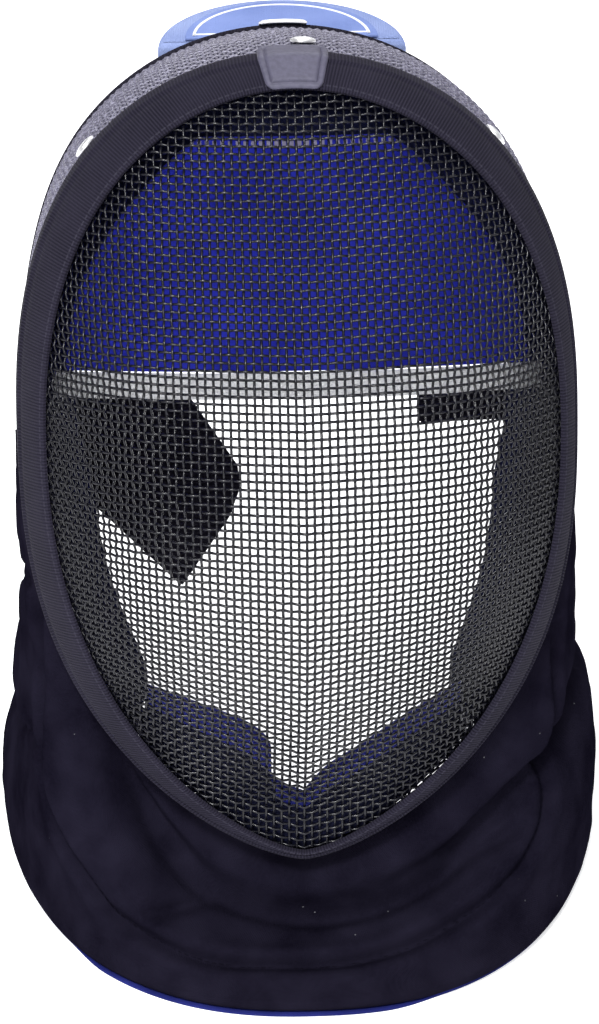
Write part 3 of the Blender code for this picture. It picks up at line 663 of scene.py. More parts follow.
def stripe(tree, value, centre, half_width):
    """1 within a stripe of a length, 0 outside."""
    away = calc(tree, "ABSOLUTE", calc(tree, "SUBTRACT", value, centre))
    return calc(tree, "LESS_THAN", away, half_width)


def dashes(tree, value, pitch, share):
    part = calc(tree, "FRACT", calc(tree, "DIVIDE", value, pitch))
    return calc(tree, "LESS_THAN", part, share)


def dress(tree, shader, base, height, distance):
    """Sets the colour and the relief of a look."""
    tree.links.new(base, shader.inputs["Base Color"])
    made = add_node(tree, "ShaderNodeBump", {"Height": height, "Distance": distance, "Strength": 1.0})
    tree.links.new(made.outputs[0], shader.inputs["Normal"])


def wear(tree, shader, worn, low, high):
    """Roughness between two values, as worn goes from 0 to 1."""
    rough = add_node(tree, "ShaderNodeMapRange", {0: worn, 3: low, 4: high})
    tree.links.new(rough.outputs[0], shader.inputs["Roughness"])


def cloth(name, colour, lit, pitch, depth, lint=0.0, seam=False):
    """Woven cloth with colour that varies from one patch to another."""
    made, tree, shader = look(name, colour, 0.9, gloss=0.0)
    spot = place(tree)
    axes = add_node(tree, "ShaderNodeSeparateXYZ", {0: spot})
    weave = calc(
        tree,
        "MULTIPLY",
        ripple(tree, calc(tree, "ADD", axes.outputs[0], axes.outputs[1]), pitch),
        ripple(tree, calc(tree, "SUBTRACT", axes.outputs[2], axes.outputs[1]), pitch),
    )
    fuzz = speckle(tree, 900.0, 0.30, 0.70, vector=spot)
    patch = speckle(tree, 45.0, 0.30, 0.70, vector=spot)
    base = blend(tree, patch, colour, lit)
    base = blend(tree, calc(tree, "MULTIPLY", fuzz, 0.35), base, lit)
    if lint:
        crumbs = add_node(tree, "ShaderNodeTexVoronoi", {"Vector": spot, "Scale": 160.0})
        grain = calc(tree, "LESS_THAN", crumbs.outputs["Distance"], 0.05)
        few = calc(tree, "GREATER_THAN", speckle(tree, 30.0, 0.0, 1.0, vector=spot), 0.58)
        shown = calc(tree, "MULTIPLY", calc(tree, "MULTIPLY", grain, few), lint)
        base = blend(tree, shown, base, (0.35, 0.35, 0.38))
    if seam:
        u, v = lengths(tree)
        sewn = stripe(tree, v, 0.0, THREAD_HALF_WIDTH)
        thread = calc(tree, "MULTIPLY", sewn, dashes(tree, u, STITCH_PITCH, 0.7))
        base = blend(tree, calc(tree, "MULTIPLY", thread, 0.6), base, (0.0020, 0.0018, 0.0032))
    height = calc(tree, "ADD", calc(tree, "MULTIPLY", weave, 0.5), calc(tree, "MULTIPLY", fuzz, 0.8))
    dress(tree, shader, base, height, depth)
    return made


def wire_look(name, dark, lit):
    """Lacquered wire, duller where it is worn."""
    made, tree, shader = look(name, dark, 0.30, gloss=0.4)
    worn = speckle(tree, 700.0, 0.45, 0.75)
    tree.links.new(blend(tree, worn, dark, lit), shader.inputs["Base Color"])
    wear(tree, shader, worn, 0.24, 0.42)
    return made


def trim_look():
    """Ribbed webbing with a stitched line along its inner edge, its ribs' grooves darkened with painted
    shade.
    """
    made, tree, shader = look("ribbed_webbing", (0.028, 0.026, 0.040), 0.85, gloss=0.04, sheen=0.02)
    u, v = lengths(tree)
    rib = ripple(tree, u, RIB_PITCH)
    fuzz = speckle(tree, 1200.0, 0.3, 0.7)
    patch = speckle(tree, 60.0, 0.3, 0.7)
    # Painted shade: the colour follows the ribs' relief, darker in the grooves and lighter on the crests.
    painted_rib_shade = calc(tree, "MULTIPLY", calc(tree, "ADD", calc(tree, "MULTIPLY", rib, 0.5), 0.5), 0.75)
    base = blend(tree, painted_rib_shade, (0.008, 0.0074, 0.0135), (0.027, 0.0245, 0.040))
    base = blend(tree, calc(tree, "MULTIPLY", patch, 0.3), base, (0.030, 0.027, 0.045))
    thread = calc(
        tree, "MULTIPLY", stripe(tree, v, 0.0018, 0.00035), dashes(tree, u, STITCH_PITCH, 0.72)
    )
    base = blend(tree, calc(tree, "MULTIPLY", thread, 0.35), base, (0.060, 0.057, 0.080))
    height = calc(tree, "ADD", calc(tree, "MULTIPLY", rib, 0.5), calc(tree, "MULTIPLY", fuzz, 0.5))
    height = calc(tree, "ADD", height, calc(tree, "MULTIPLY", thread, 1.2))
    dress(tree, shader, base, height, 0.00022)
    return made


def vinyl_look():
    made, tree, shader = look("grey_vinyl", (0.13, 0.12, 0.17), 0.55, gloss=0.3)
    grain = speckle(tree, 500.0, 0.35, 0.65, detail=4.0)
    shade = blend(tree, grain, (0.070, 0.067, 0.102), (0.090, 0.086, 0.130))
    dress(tree, shader, shade, grain, 0.00006)
    return made


def steel_look():
    made, tree, shader = look("bright_steel", (0.96, 0.96, 0.98), 0.45, 1.0)
    worn = speckle(tree, 300.0, 0.3, 0.7)
    wear(tree, shader, worn, 0.36, 0.54)
    return made


def ribbed_cloth(name, colour, lit, pitch):
    """Webbing or elastic whose ribs follow the piece's own lengths, with painted shade in the grooves between
    the ribs.
    """
    made, tree, shader = look(name, colour, 0.9, gloss=0.03)
    rib = ripple(tree, lengths(tree)[0], pitch)
    fuzz = speckle(tree, 1100.0, 0.3, 0.7)
    # Painted shade: the colour follows the ribs' relief, darker in the grooves and lighter on the crests.
    painted_rib_shade = calc(tree, "ADD", calc(tree, "MULTIPLY", rib, 0.35), 0.35)
    shade = blend(tree, calc(tree, "MULTIPLY", calc(tree, "ADD", painted_rib_shade, fuzz), 0.6), colour, lit)
    dress(tree, shader, shade, calc(tree, "ADD", rib, fuzz), 0.00020)
    return made


def towel_look():
    made, tree, shader = look("white_towelling", (0.88, 0.88, 0.92), 0.95, gloss=0.2, sheen=0.3)
    loops = speckle(tree, 1400.0, 0.3, 0.7, detail=1.0)
    shade = blend(tree, loops, (0.80, 0.80, 0.86), (0.95, 0.95, 0.97))
    dress(tree, shader, shade, loops, 0.0006)
    return made


def forehead_look():
    """Blue cloth with a pale stitched line along the pad's upper edge."""
    made, tree, shader = look("royal_blue_cloth", (0.012, 0.016, 0.260), 0.85, gloss=0.1, sheen=0.02)
    u, v = lengths(tree)
    fuzz = speckle(tree, 900.0, 0.3, 0.7)
    patch = speckle(tree, 40.0, 0.3, 0.7)
    base = blend(tree, patch, (0.020, 0.027, 0.430), (0.036, 0.048, 0.640))
    thread = calc(
        tree,
        "MULTIPLY",
        stripe(tree, v, FOREHEAD_HEIGHT - 0.0024, 0.0010),
        dashes(tree, u, STITCH_PITCH, 0.55),
    )
    base = blend(tree, calc(tree, "MULTIPLY", thread, 0.8), base, (0.45, 0.42, 0.50))
    weave = calc(tree, "MULTIPLY", ripple(tree, u, 0.0009), ripple(tree, v, 0.0009))
    dress(tree, shader, base, calc(tree, "ADD", weave, fuzz), 0.00025)
    return made


# Woven wire panels


def crimped(points, normals, sign, parity):
    """A wire over and under the wires that it crosses at each point of its path."""
    count = len(points)
    at = np.arange((count - 1) * WIRE_BITS + 1) / WIRE_BITS
    low = np.minimum(at.astype(int), count - 2)
    t = (at - low)[:, None]
    points = points[low] * (1 - t) + points[low + 1] * t
    normals = unit(normals[low] * (1 - t) + normals[low + 1] * t)
    swing = np.cos(math.pi * (at + parity)) * sign * WIRE_SWING
    return points + normals * (swing - MESH_WALL / 2)[:, None], normals


def turn_up(vectors):
    """Directions of the mask frame in the frame of the solids."""
    return stand_up(vectors) - stand_up(np.zeros(3))


def add_wires(name, wires, radius, finish, node):
    paths = [(stand_up(path), turn_up(normals)) for path, normals in wires]
    piece(tubes(name, paths, radius, finish), node)


def make_front_weave(finish):
    """Level wires follow the rows, and upright wires join the same count of meshes on each row."""
    heights = np.linspace(BORDER.top, -BORDER.chin, 1200)
    ridge = np.stack([front_surface(0 * heights, heights), heights], -1)
    run = np.concatenate([[0.0], np.cumsum(np.linalg.norm(np.diff(ridge, axis=0), axis=1))])
    count = int(run[-1] / ROW_PITCH)
    starts = np.interp((np.arange(count) + 0.5) * run[-1] / count, run, heights)
    most = int(WEAVE_REACH / COLUMN_PITCH)
    nodes = np.full((count, 2 * most + 1, 2), np.nan)
    for j, start in enumerate(starts):
        down = (BORDER.top - start) / (BORDER.top + BORDER.chin)
        slope = float(follow(ROW_RISE, 1, down))
        x = np.linspace(0, BORDER.half_width, 900)
        z = start + slope * x
        inside = (x < edge_width(BORDER, z)) & (z < BORDER.top) & (z > -BORDER.chin)
        last = len(x) if inside.all() else int(np.argmin(inside))
        x, z = x[:last], z[:last]
        if last < 4:
            continue
        y = front_surface(x, z)
        steps = np.sqrt(np.diff(x) ** 2 + np.diff(y) ** 2 + np.diff(z) ** 2)
        length = np.concatenate([[0.0], np.cumsum(steps)])
        k = np.arange(int(length[-1] / COLUMN_PITCH) + 1)
        at_x = np.interp(k * COLUMN_PITCH, length, x)
        at_z = np.interp(k * COLUMN_PITCH, length, z)
        nodes[j, most + k] = np.stack([at_x, at_z], -1)
        nodes[j, most - k] = np.stack([-at_x, at_z], -1)
    rows, columns = [], []
    for j in range(count):
        held = np.flatnonzero(~np.isnan(nodes[j, :, 0]))
        if len(held) < 3:
            continue
        flat = nodes[j, held]
        points = front_point(flat[:, 0], flat[:, 1], 0.0)
        rows.append(crimped(points, front_normal(flat[:, 0], flat[:, 1]), -1, held[0] + j))
    for k in range(2 * most + 1):
        held = np.flatnonzero(~np.isnan(nodes[:, k, 0]))
        if len(held) < 3:
            continue
        flat = nodes[held, k]
        points = front_point(flat[:, 0], flat[:, 1], 0.0)
        columns.append(crimped(points, front_normal(flat[:, 0], flat[:, 1]), 1, held[0] + k))
    add_wires("front_level_wires", rows, FRONT_WIRE_RADIUS, finish, "front_mesh")
    add_wires("front_upright_wires", columns, FRONT_WIRE_RADIUS, finish, "front_mesh")


def side_normal(angle, y):
    return unit(side_point(angle, y, 0.001) - side_point(angle, y, 0.0))


def make_side_weave(finish):
    angles = np.linspace(*SIDE_PANEL_ENDS, 2881)
    x, z = edge_point(BORDER, angles)
    run = np.concatenate([[0.0], np.cumsum(np.hypot(np.diff(x), np.diff(z)))])
    count = int(run[-1] / COLUMN_PITCH)
    around = np.interp((np.arange(count) + 0.5) * run[-1] / count, run, angles)
    start = MESH_WALL + GAP
    rows_deep = int((SIDE_DEPTH - start) / ROW_PITCH)
    depths = start + (np.arange(rows_deep) + 0.5) * (SIDE_DEPTH - start) / rows_deep
    reach = side_depth(around)
    rows, columns = [], []
    for j, y in enumerate(depths):
        held = np.flatnonzero(reach >= y)
        if len(held) < 3:
            continue
        angle = around[held]
        points = side_point(angle, y + 0 * angle, 0.0)
        rows.append(crimped(points, side_normal(angle, y + 0 * angle), -1, held[0] + j))
    for k, angle in enumerate(around):
        held = depths[depths <= reach[k]]
        if len(held) < 3:
            continue
        spread = angle + 0 * held
        points = side_point(spread, held, 0.0)
        columns.append(crimped(points, side_normal(spread, held), 1, k))
    add_wires("side_hoop_wires", rows, WIRE_RADIUS, finish, "side_mesh")
    add_wires("side_long_wires", columns, WIRE_RADIUS, finish, "side_mesh")


# Trim


def trim_skin(angle, lift_face, lift_rear):
    """Points across the trim from its inner edge to its rear edge; the lifts are given per station."""
    inner_x, inner_z = edge_point(TRIM_FACE, angle)
    border_x, border_z = edge_point(BORDER, angle)
    path = []
    shares = np.linspace(0.0, 0.95, len(lift_face))
    for share, lift in zip(shares, lift_face):
        x = inner_x + (border_x - inner_x) * share
        z = inner_z + (border_z - inner_z) * share
        path.append(front_point(x, z, lift))
    outward = edge_outward(angle)
    facing = front_normal(border_x * 0.999, border_z * 0.999)
    side = np.stack([outward[..., 0], 0 * border_x, outward[..., 1]], -1)
    corner = np.stack([border_x, 0 * border_x, border_z], -1)
    for turn in (0.25, 0.5, 0.75):
        bend = unit(facing * (1 - turn) + side * turn)
        path.append(corner + bend * lift_rear[0])
    for share, lift in zip(np.linspace(0.12, 1.0, len(lift_rear) - 1), lift_rear[1:]):
        path.append(side_point(angle, TRIM_REAR * share, lift))
    return np.stack(path, 1)


def make_trim(webbing):
    angles = np.arange(-90, 270, 0.5) + 0.0
    over = TRIM_GAP + TRIM_WALL
    share = np.linspace(0, 1, 13)
    face = over + TRIM_CROWN * np.sin(math.pi * share)
    face[0] = over - 0.0009
    face[1] = over - 0.0002
    face[-2] -= TRIM_GROOVE * 0.6
    face[-1] -= TRIM_GROOVE
    rear = np.array([over, over + 0.0001, over + 0.0002, over, over - 0.0004, over - 0.0010])
    outer = stand_up(trim_skin(angles, face, rear))
    inner = stand_up(trim_skin(angles, 0 * face + TRIM_GAP, 0 * rear + TRIM_GAP))
    piece(shell("trim_band", outer, inner, webbing, ring=True), "trim")


def half_angle(half_width):
    """Angle near the crown where the ring has this half width."""
    angles = np.linspace(60, 90, 400)
    return float(np.interp(half_width, edge_point(RING, angles)[0][::-1], angles[::-1]))


def make_tab(vinyl):
    """The patch over the trim: rounded corners, a stitched groove and a raised middle."""
    side = 90 - half_angle(TAB_HALF_WIDTH)
    across = np.linspace(-1, 1, 49)
    along = np.linspace(-1, 1, 49)
    s, t = np.meshgrid(across, along, indexing="ij")
    edge = np.maximum(np.abs(s), np.abs(t))
    rounded_s = s * (1 - 0.10 * np.abs(t) ** 12)
    rounded_t = t * (1 - 0.08 * np.abs(s) ** 12)
    groove = np.exp(-(((edge - 0.78) / 0.035) ** 2))
    height = TAB_WALL * np.clip((1 - edge) / 0.06, 0.15, 1) ** 0.5 - 0.0006 * groove
    height = height + 0.0003 * (edge < 0.76)
    base = TRIM_GAP + TRIM_WALL + GAP
    seat = np.full(13, base)
    rear = np.full(6, base)
    outer = np.zeros((*s.shape, 3))
    inner = np.zeros((*s.shape, 3))
    for i in range(s.shape[0]):
        angle = 90 - side * rounded_s[i]
        under = trim_skin(angle, seat, rear)
        over = trim_skin(angle, seat + 0.001, rear + 0.001)
        for skin in (under, over):
            skin[:, 0] += unit(skin[:, 0] - skin[:, 1]) * 0.0010
        run = np.linalg.norm(np.diff(under, axis=1), axis=-1)
        run = np.concatenate([np.zeros((len(angle), 1)), np.cumsum(run, 1)], 1)
        for j in range(s.shape[1]):
            at = (rounded_t[i, j] + 1) / 2 * run[j, -1]
            low = np.array([np.interp(at, run[j], under[j, :, axis]) for axis in range(3)])
            high = np.array([np.interp(at, run[j], over[j, :, axis]) for axis in range(3)])
            inner[i, j] = low
            outer[i, j] = low + (high - low) / 0.001 * height[i, j]
    piece(shell("crown_tab", stand_up(outer), stand_up(inner), vinyl), "trim_tab")


def make_caps(steel):
    turns = np.radians(np.arange(0, 360, 10))
    for name, (angle, setback) in RIVET_SPOTS.items():
        y = np.array([TRIM_REAR + setback])
        spot = side_point(np.array([angle]), y, 2 * GAP)[0]
        above = side_point(np.array([angle]), y, 1.0)[0]
        turn = np.array(Vector(above - spot).to_track_quat("Z", "Y").to_matrix())
        loops = []
        for height, share in CAP_PROFILE:
            level = np.full(len(turns), RIVET_RISE * height)
            radius = RIVET_RADIUS * share
            ring = np.stack([radius * np.cos(turns), radius * np.sin(turns), level], -1)
            loops.append(spot + ring @ turn.T)
        made = loft(name.replace("rivet", "cap"), stand_up(np.array(loops)), steel, sharp=35)
        piece(made, name)


def make_back_binding(binding):
    angles = np.arange(SIDE_PANEL_ENDS[0], SIDE_PANEL_ENDS[1] + 0.1, 1.0)
    depth = side_depth(angles)
    over = GAP + BINDING_WALL
    under = -MESH_WALL - GAP
    soft = 0.0005
    corners = (
        (-BINDING_WIDTH, over - soft),
        (-BINDING_WIDTH + soft, over),
        (-BINDING_WIDTH / 2, over + 0.0001),
        (over - 2 * soft, over),
        (over, over - 2 * soft),
        (over, under - BINDING_WALL + 2 * soft),
        (over - 2 * soft, under - BINDING_WALL),
        (-BINDING_WIDTH / 2, under - BINDING_WALL - 0.0001),
        (-BINDING_WIDTH + soft, under - BINDING_WALL),
        (-BINDING_WIDTH, under - BINDING_WALL + soft),
        (-BINDING_WIDTH, under),
        (GAP, under),
        (GAP, GAP),
        (-BINDING_WIDTH, GAP),
    )
    loops = np.stack([side_point(angles, depth + back, lift) for back, lift in corners], 1)
    loops = stand_up(loops)
    made = loft("back_binding", loops, binding, grid_uv(loops).reshape(-1, 2))
    piece(made, "back_edge")


# Tongue


def tongue_placement(lift):
    """Frame of the tongue's top face: X across, Y to its tip."""
    rear = SIDE_DEPTH + 2 * GAP + BINDING_WALL + TONGUE_DROP
    crown = side_point(np.array([90.0]), np.array([SIDE_DEPTH]), 0.0)[0][2]
    top = crown - MESH_WALL - BINDING_WALL - 2 * GAP - TONGUE_DROP
    turn = Matrix.Rotation(math.radians(TONGUE_PITCH), 4, "X")
    return MASK_FRAME @ Matrix.Translation((0, rear, top)) @ turn @ Matrix.Translation((0, 0, lift))


def shrunk(outline, inset):
    """A flat outline moved in by an inset, for an outline that turns anticlockwise."""
    before = unit(outline - np.roll(outline, 1, 0))
    after = unit(np.roll(outline, -1, 0) - outline)
    inward = unit(np.stack([-before[:, 1] - after[:, 1], before[:, 0] + after[:, 0]], -1))
    turn = np.clip((before * after).sum(-1), -1, 1)
    return outline + inward * (inset / np.sqrt((1 + turn) / 2))[:, None]


def half_round(radius, start, steps):
    turns = np.linspace(0, math.pi, steps)
    return np.stack([radius * np.cos(turns), start + radius * np.sin(turns)], -1)


def soft_slab(name, outline, levels, placement, finish):
    """A plate through the levels, each a height and an inset, laid out in its own frame."""
    loops = []
    for height, inset in levels:
        flat = shrunk(outline, inset) if inset else outline
        loops.append(np.column_stack([flat, np.full(len(flat), height)]))
    turn = np.array(placement.to_3x3())
    loops = np.array(loops)
    placed = loops @ turn.T + np.array(placement.translation)
    uv = loops.reshape(-1, 3)[:, :2] + 0.1
    return loft(name, placed, finish, uv)


def rolled(wall_height, radius, steps=4):
    """Levels of a plate whose edge is rounded above and below."""
    levels = []
    for k in range(steps + 1):
        turn = math.pi / 2 * k / steps
        levels.append((-radius * (1 - math.sin(turn)), radius * (1 - math.cos(turn))))
    lower = [(-wall_height - height, inset) for height, inset in levels]
    return levels[::-1] + lower


def make_tongue(sky, panel, white, steel):
    neck = NECK_HALF_WIDTH
    arc = half_round(TONGUE_RADIUS, 0.0, 61)
    side = np.linspace(0, 1, 8)[:, None]
    corners = np.concatenate(
        [
            np.array([[-neck, 0.0]]),
            np.array([[-neck, -NECK_LENGTH]]) * side[1:] + np.array([[-neck, 0.0]]) * (1 - side[1:]),
            np.array([[neck, -NECK_LENGTH]]),
            np.array([[neck, 0.0]]) * side[1:] + np.array([[neck, -NECK_LENGTH]]) * (1 - side[1:]),
        ]
    )
    outline = np.concatenate([arc, corners])
    made = soft_slab("tongue_pad", outline, rolled(TONGUE_WALL, TONGUE_ROUND), tongue_placement(0.0), sky)
    piece(made, "tongue")

    radius = TONGUE_RADIUS - PATCH_MARGIN
    outline = half_round(radius, TONGUE_ROUND, 61)
    top = tongue_placement(GAP + PATCH_WALL)
    made = soft_slab("tongue_panel", outline, rolled(PATCH_WALL, 0.0003, 2), top, panel)
    piece(made, "tongue_patch")
    line = tongue_placement(GAP + PATCH_WALL + 0.00025)
    outer = shrunk(half_round(radius, TONGUE_ROUND, 61), 0.0030)
    inner = shrunk(half_round(radius, TONGUE_ROUND, 61), 0.0042)
    loops = np.stack([outer, inner, inner, outer], 0)
    depth = np.array([0.0, 0.0, -0.0004, -0.0004])[:, None, None]
    loops = np.concatenate([loops, 0 * loops[..., :1] + depth], -1)
    loops = np.concatenate([loops, loops[:1]])
    placed = loops @ np.array(line.to_3x3()).T + np.array(line.translation)
    made = loft("tongue_panel_line", placed, white, caps=False)
    piece(made, None)

    side = half_angle(PLATE_HALF_WIDTH)
    angles = np.linspace(side, 180 - side, 13)[:, None]
    y = SIDE_DEPTH + GAP - PLATE_LENGTH * np.linspace(1, 0, 13)[None, :]
    angles = angles + 0 * y
    y = y + 0 * angles
    edge = np.maximum(np.abs(np.linspace(-1, 1, 13))[:, None], np.abs(np.linspace(-1, 1, 13))[None, :])
    soft = PLATE_WALL * (1 - 0.5 * np.clip((edge - 0.8) / 0.2, 0, 1) ** 2)
    base = 2 * GAP + BINDING_WALL
    made = shell(
        "tongue_clamp",
        stand_up(side_point(angles, y, base + soft)),
        stand_up(side_point(angles, y, base)),
        steel,
    )
    piece(made, "tongue_plate")


# Pads


def forehead_front(share, height):
    return FOREHEAD_RIM - FOREHEAD_BULGE * follow(FOREHEAD_OUTLINE, 2, height) * (1 - share**2)


def make_forehead(blue, towel):
    height, share = np.meshgrid(np.linspace(0, 1, 60), np.linspace(-1, 1, 90), indexing="ij")
    x = share * FOREHEAD_HALF_WIDTH * follow(FOREHEAD_OUTLINE, 1, height)
    z = FOREHEAD_BOTTOM + height * FOREHEAD_HEIGHT
    front = forehead_front(share, height)
    rim = np.minimum(1 - np.abs(share), np.minimum(height, 1 - height) * 0.8)
    wall_height = (FOREHEAD_WALL + FOREHEAD_FILL * (1 - share**2)) * np.clip(rim / 0.06, 0.12, 1) ** 0.5
    middle = front + (FOREHEAD_WALL + FOREHEAD_FILL * (1 - share**2)) / 2
    outer = np.stack([x, middle - wall_height / 2, z], -1)
    inner = np.stack([x, middle + wall_height / 2, z], -1)
    uv = np.stack([x + 0.2, z - FOREHEAD_BOTTOM], -1)
    made = shell("forehead_cushion", stand_up(outer), stand_up(inner), blue, uv=uv)
    piece(made, "forehead_pad")

    x = np.linspace(-BAND_HALF_LENGTH, BAND_HALF_LENGTH, 90)
    front = forehead_front(np.clip(x / FOREHEAD_HALF_WIDTH, -1, 1), 0 * x) + BAND_SETBACK
    top = FOREHEAD_BOTTOM - GAP
    half = BAND_WALL / 2
    loops = []
    for turn in np.radians(np.arange(0, 360, 22.5)):
        across = half * np.sign(math.cos(turn)) * abs(math.cos(turn)) ** 0.6
        up = BAND_HEIGHT / 2 * np.sign(math.sin(turn)) * abs(math.sin(turn)) ** 0.5
        loops.append(np.stack([x, front + half + across, 0 * x + top - BAND_HEIGHT / 2 + up], -1))
    made = loft("sweat_roll", stand_up(np.stack(loops, 1)), towel)
    piece(made, "sweat_band")


def pillow(share):
    """Thickness share of a pad, which closes at its borders."""
    return np.maximum(1 - np.abs(2 * share - 1) ** PILLOW_POWER, PILLOW_RIM) ** 0.5


def make_lining_pad(name, node, angles, thickness, margin, soft_ends, dark):
    """A pad along the inside of the side panel; soft_ends says which of front, first and last end closes."""
    shares = (1 - np.cos(np.linspace(0, math.pi, 30))) / 2
    angles = np.array(angles, float)[:, None]
    y = PAD_FRONT + (side_depth(angles) - margin - PAD_FRONT) * shares
    first, last = angles[0, 0], angles[-1, 0]
    soft_front, soft_first, soft_last = soft_ends
    along = pillow(shares if soft_front else np.maximum(shares, 0.5))
    across = np.clip((angles - first) / (last - first), 0 if soft_first else 0.5, 1 if soft_last else 0.5)
    wall_height = thickness(angles) * along * pillow(across)
    angles = angles + 0 * y
    against = -MESH_WALL - PAD_GAP
    outer = stand_up(side_point(angles, y, against))
    inner = stand_up(side_point(angles, y, against - wall_height))
    made = shell(name, outer, inner, dark)
    piece(made, node)


def make_pads(navy, edge_blue):
    spread = (1 - np.cos(np.linspace(0, math.pi, 90))) / 2
    crown = CROWN_PAD_END + (180 - 2 * CROWN_PAD_END) * spread

    def crown_wall(angle):
        return CROWN_PAD_WALL + CROWN_PAD_EXTRA * np.sin(np.radians(angle)) ** 2

    def side_wall(angle):
        return SIDE_PAD_WALL + 0 * angle

    square = (False, False, False)
    make_lining_pad("crown_cushion", "crown_pad", crown, crown_wall, CROWN_PAD_MARGIN, square, navy)
    side = SIDE_PAD_BOTTOM + (SIDE_PAD_TOP - SIDE_PAD_BOTTOM) * spread[::2]
    for name, node, angles in (
        ("cheek_cushion_right", "side_pad_right", side),
        ("cheek_cushion_left", "side_pad_left", 180 - side),
    ):
        make_lining_pad(name, node, angles, side_wall, SIDE_PAD_MARGIN, (True, True, False), navy)

    turns = np.linspace(-CHIN_PAD_TURN, CHIN_PAD_TURN, 81)
    angles = turns - 90
    rim_x, rim_z = edge_point(BORDER, angles)
    outward = edge_outward(angles)
    inset = CHIN_PAD_INSET + (CHIN_PAD_END_INSET - CHIN_PAD_INSET) * (turns / CHIN_PAD_TURN) ** 2
    rim_x = rim_x - outward[:, 0] * inset
    rim_z = rim_z - outward[:, 1] * inset
    left = turns < 0
    away = np.abs(turns)
    share_x = np.where(left, -follow(CHIN_EDGE, 1, away), follow(CHIN_EDGE, 3, away))
    share_z = np.where(left, follow(CHIN_EDGE, 2, away), follow(CHIN_EDGE, 4, away))
    top_x = RING_HALF_WIDTH * share_x
    top_z = -RING_CHIN * share_z
    shares = (1 - np.cos(np.linspace(0, math.pi, 24))) / 2
    x = rim_x[:, None] + (top_x - rim_x)[:, None] * shares
    z = rim_z[:, None] + (top_z - rim_z)[:, None] * shares
    front = CHIN_PAD_FRONT - CHIN_PAD_LEAN * shares + 0 * x
    middle = front + CHIN_PAD_WALL / 2
    half = CHIN_PAD_WALL / 2 * pillow(np.maximum(shares, 0.5))
    outer = stand_up(np.stack([x, middle - half, z], -1))
    inner = stand_up(np.stack([x, middle + half, z], -1))
    uv = np.stack([turns[:, None] * 0.01 + 0 * x, shares + 0 * x], -1)
    made = shell("chin_cushion", outer, inner, edge_blue, uv=uv)
    piece(made, "chin_pad")


def chin_look():
    """Navy cloth with a blue binding along the pad's free edge."""
    made, tree, shader = look("navy_cloth_blue_edge", (0.008, 0.009, 0.026), 0.9, gloss=0.08, sheen=0.01)
    share = lengths(tree)[1]
    fuzz = speckle(tree, 900.0, 0.3, 0.7)
    navy = blend(tree, fuzz, (0.006, 0.007, 0.022), (0.016, 0.018, 0.050))
    edge = calc(tree, "GREATER_THAN", share, 0.72)
    blue = blend(tree, fuzz, (0.020, 0.024, 0.190), (0.040, 0.048, 0.320))
    dress(tree, shader, blend(tree, edge, navy, blue), fuzz, 0.00025)
    return made


# Bib


def bib_top(way, lift):
    share = np.abs(way)
    beyond = np.maximum(share - BIB_EAR_SHARE, 0) / (1 - BIB_EAR_SHARE)
    angle = -90 + 90 * np.minimum(share / BIB_EAR_SHARE, 1) - BIB_EAR_DROP * beyond
    start = TRIM_REAR + GAP
    point = side_point(angle, start + (BIB_EAR_DEPTH - start) * beyond, lift)
    point[:, 0] *= np.where(way < 0, -1, 1)
    return stand_up(point)


def hem_point(way, inset):
    """Plan of the hem, moved in by an inset."""
    turn = np.radians(HEM_SWEEP * way)
    power = 2 / HEM_POWER
    side = np.sign(np.sin(turn)) * np.abs(np.sin(turn)) ** power
    ahead = np.sign(np.cos(turn)) * np.abs(np.cos(turn)) ** power
    x = HEM_SHIFT + (HEM_HALF_WIDTH - inset) * side
    return x + SHIFT_X, HEM_WIDEST - (HEM_DEPTH - inset) * ahead + SHIFT_Y


def hem_inward(way):
    ahead = np.stack(hem_point(way + HEM_STEP, 0.0), -1)
    behind = np.stack(hem_point(way - HEM_STEP, 0.0), -1)
    along = unit(ahead - behind)
    return np.stack([-along[:, 1], along[:, 0]], -1)


def bib_proud(way):
    return BIB_PROUD * follow(BIB_SEAM, 1, np.abs(way))


def sideness(way):
    """0 at the front of the bib, 1 along its sides."""
    share = np.clip((np.abs(way) - SIDE_START) / SIDE_BLEND, 0, 1)
    return (share**2 * (3 - 2 * share))[:, None]


def bib_spread(way, drop):
    """Share of the way out from the upper edge to the hem, at each section and share of the drop."""
    side = np.where((way < 0)[:, None], follow(BIB_SPREAD, 1, drop), follow(BIB_SPREAD, 2, drop))
    return drop + (side - drop) * sideness(way)


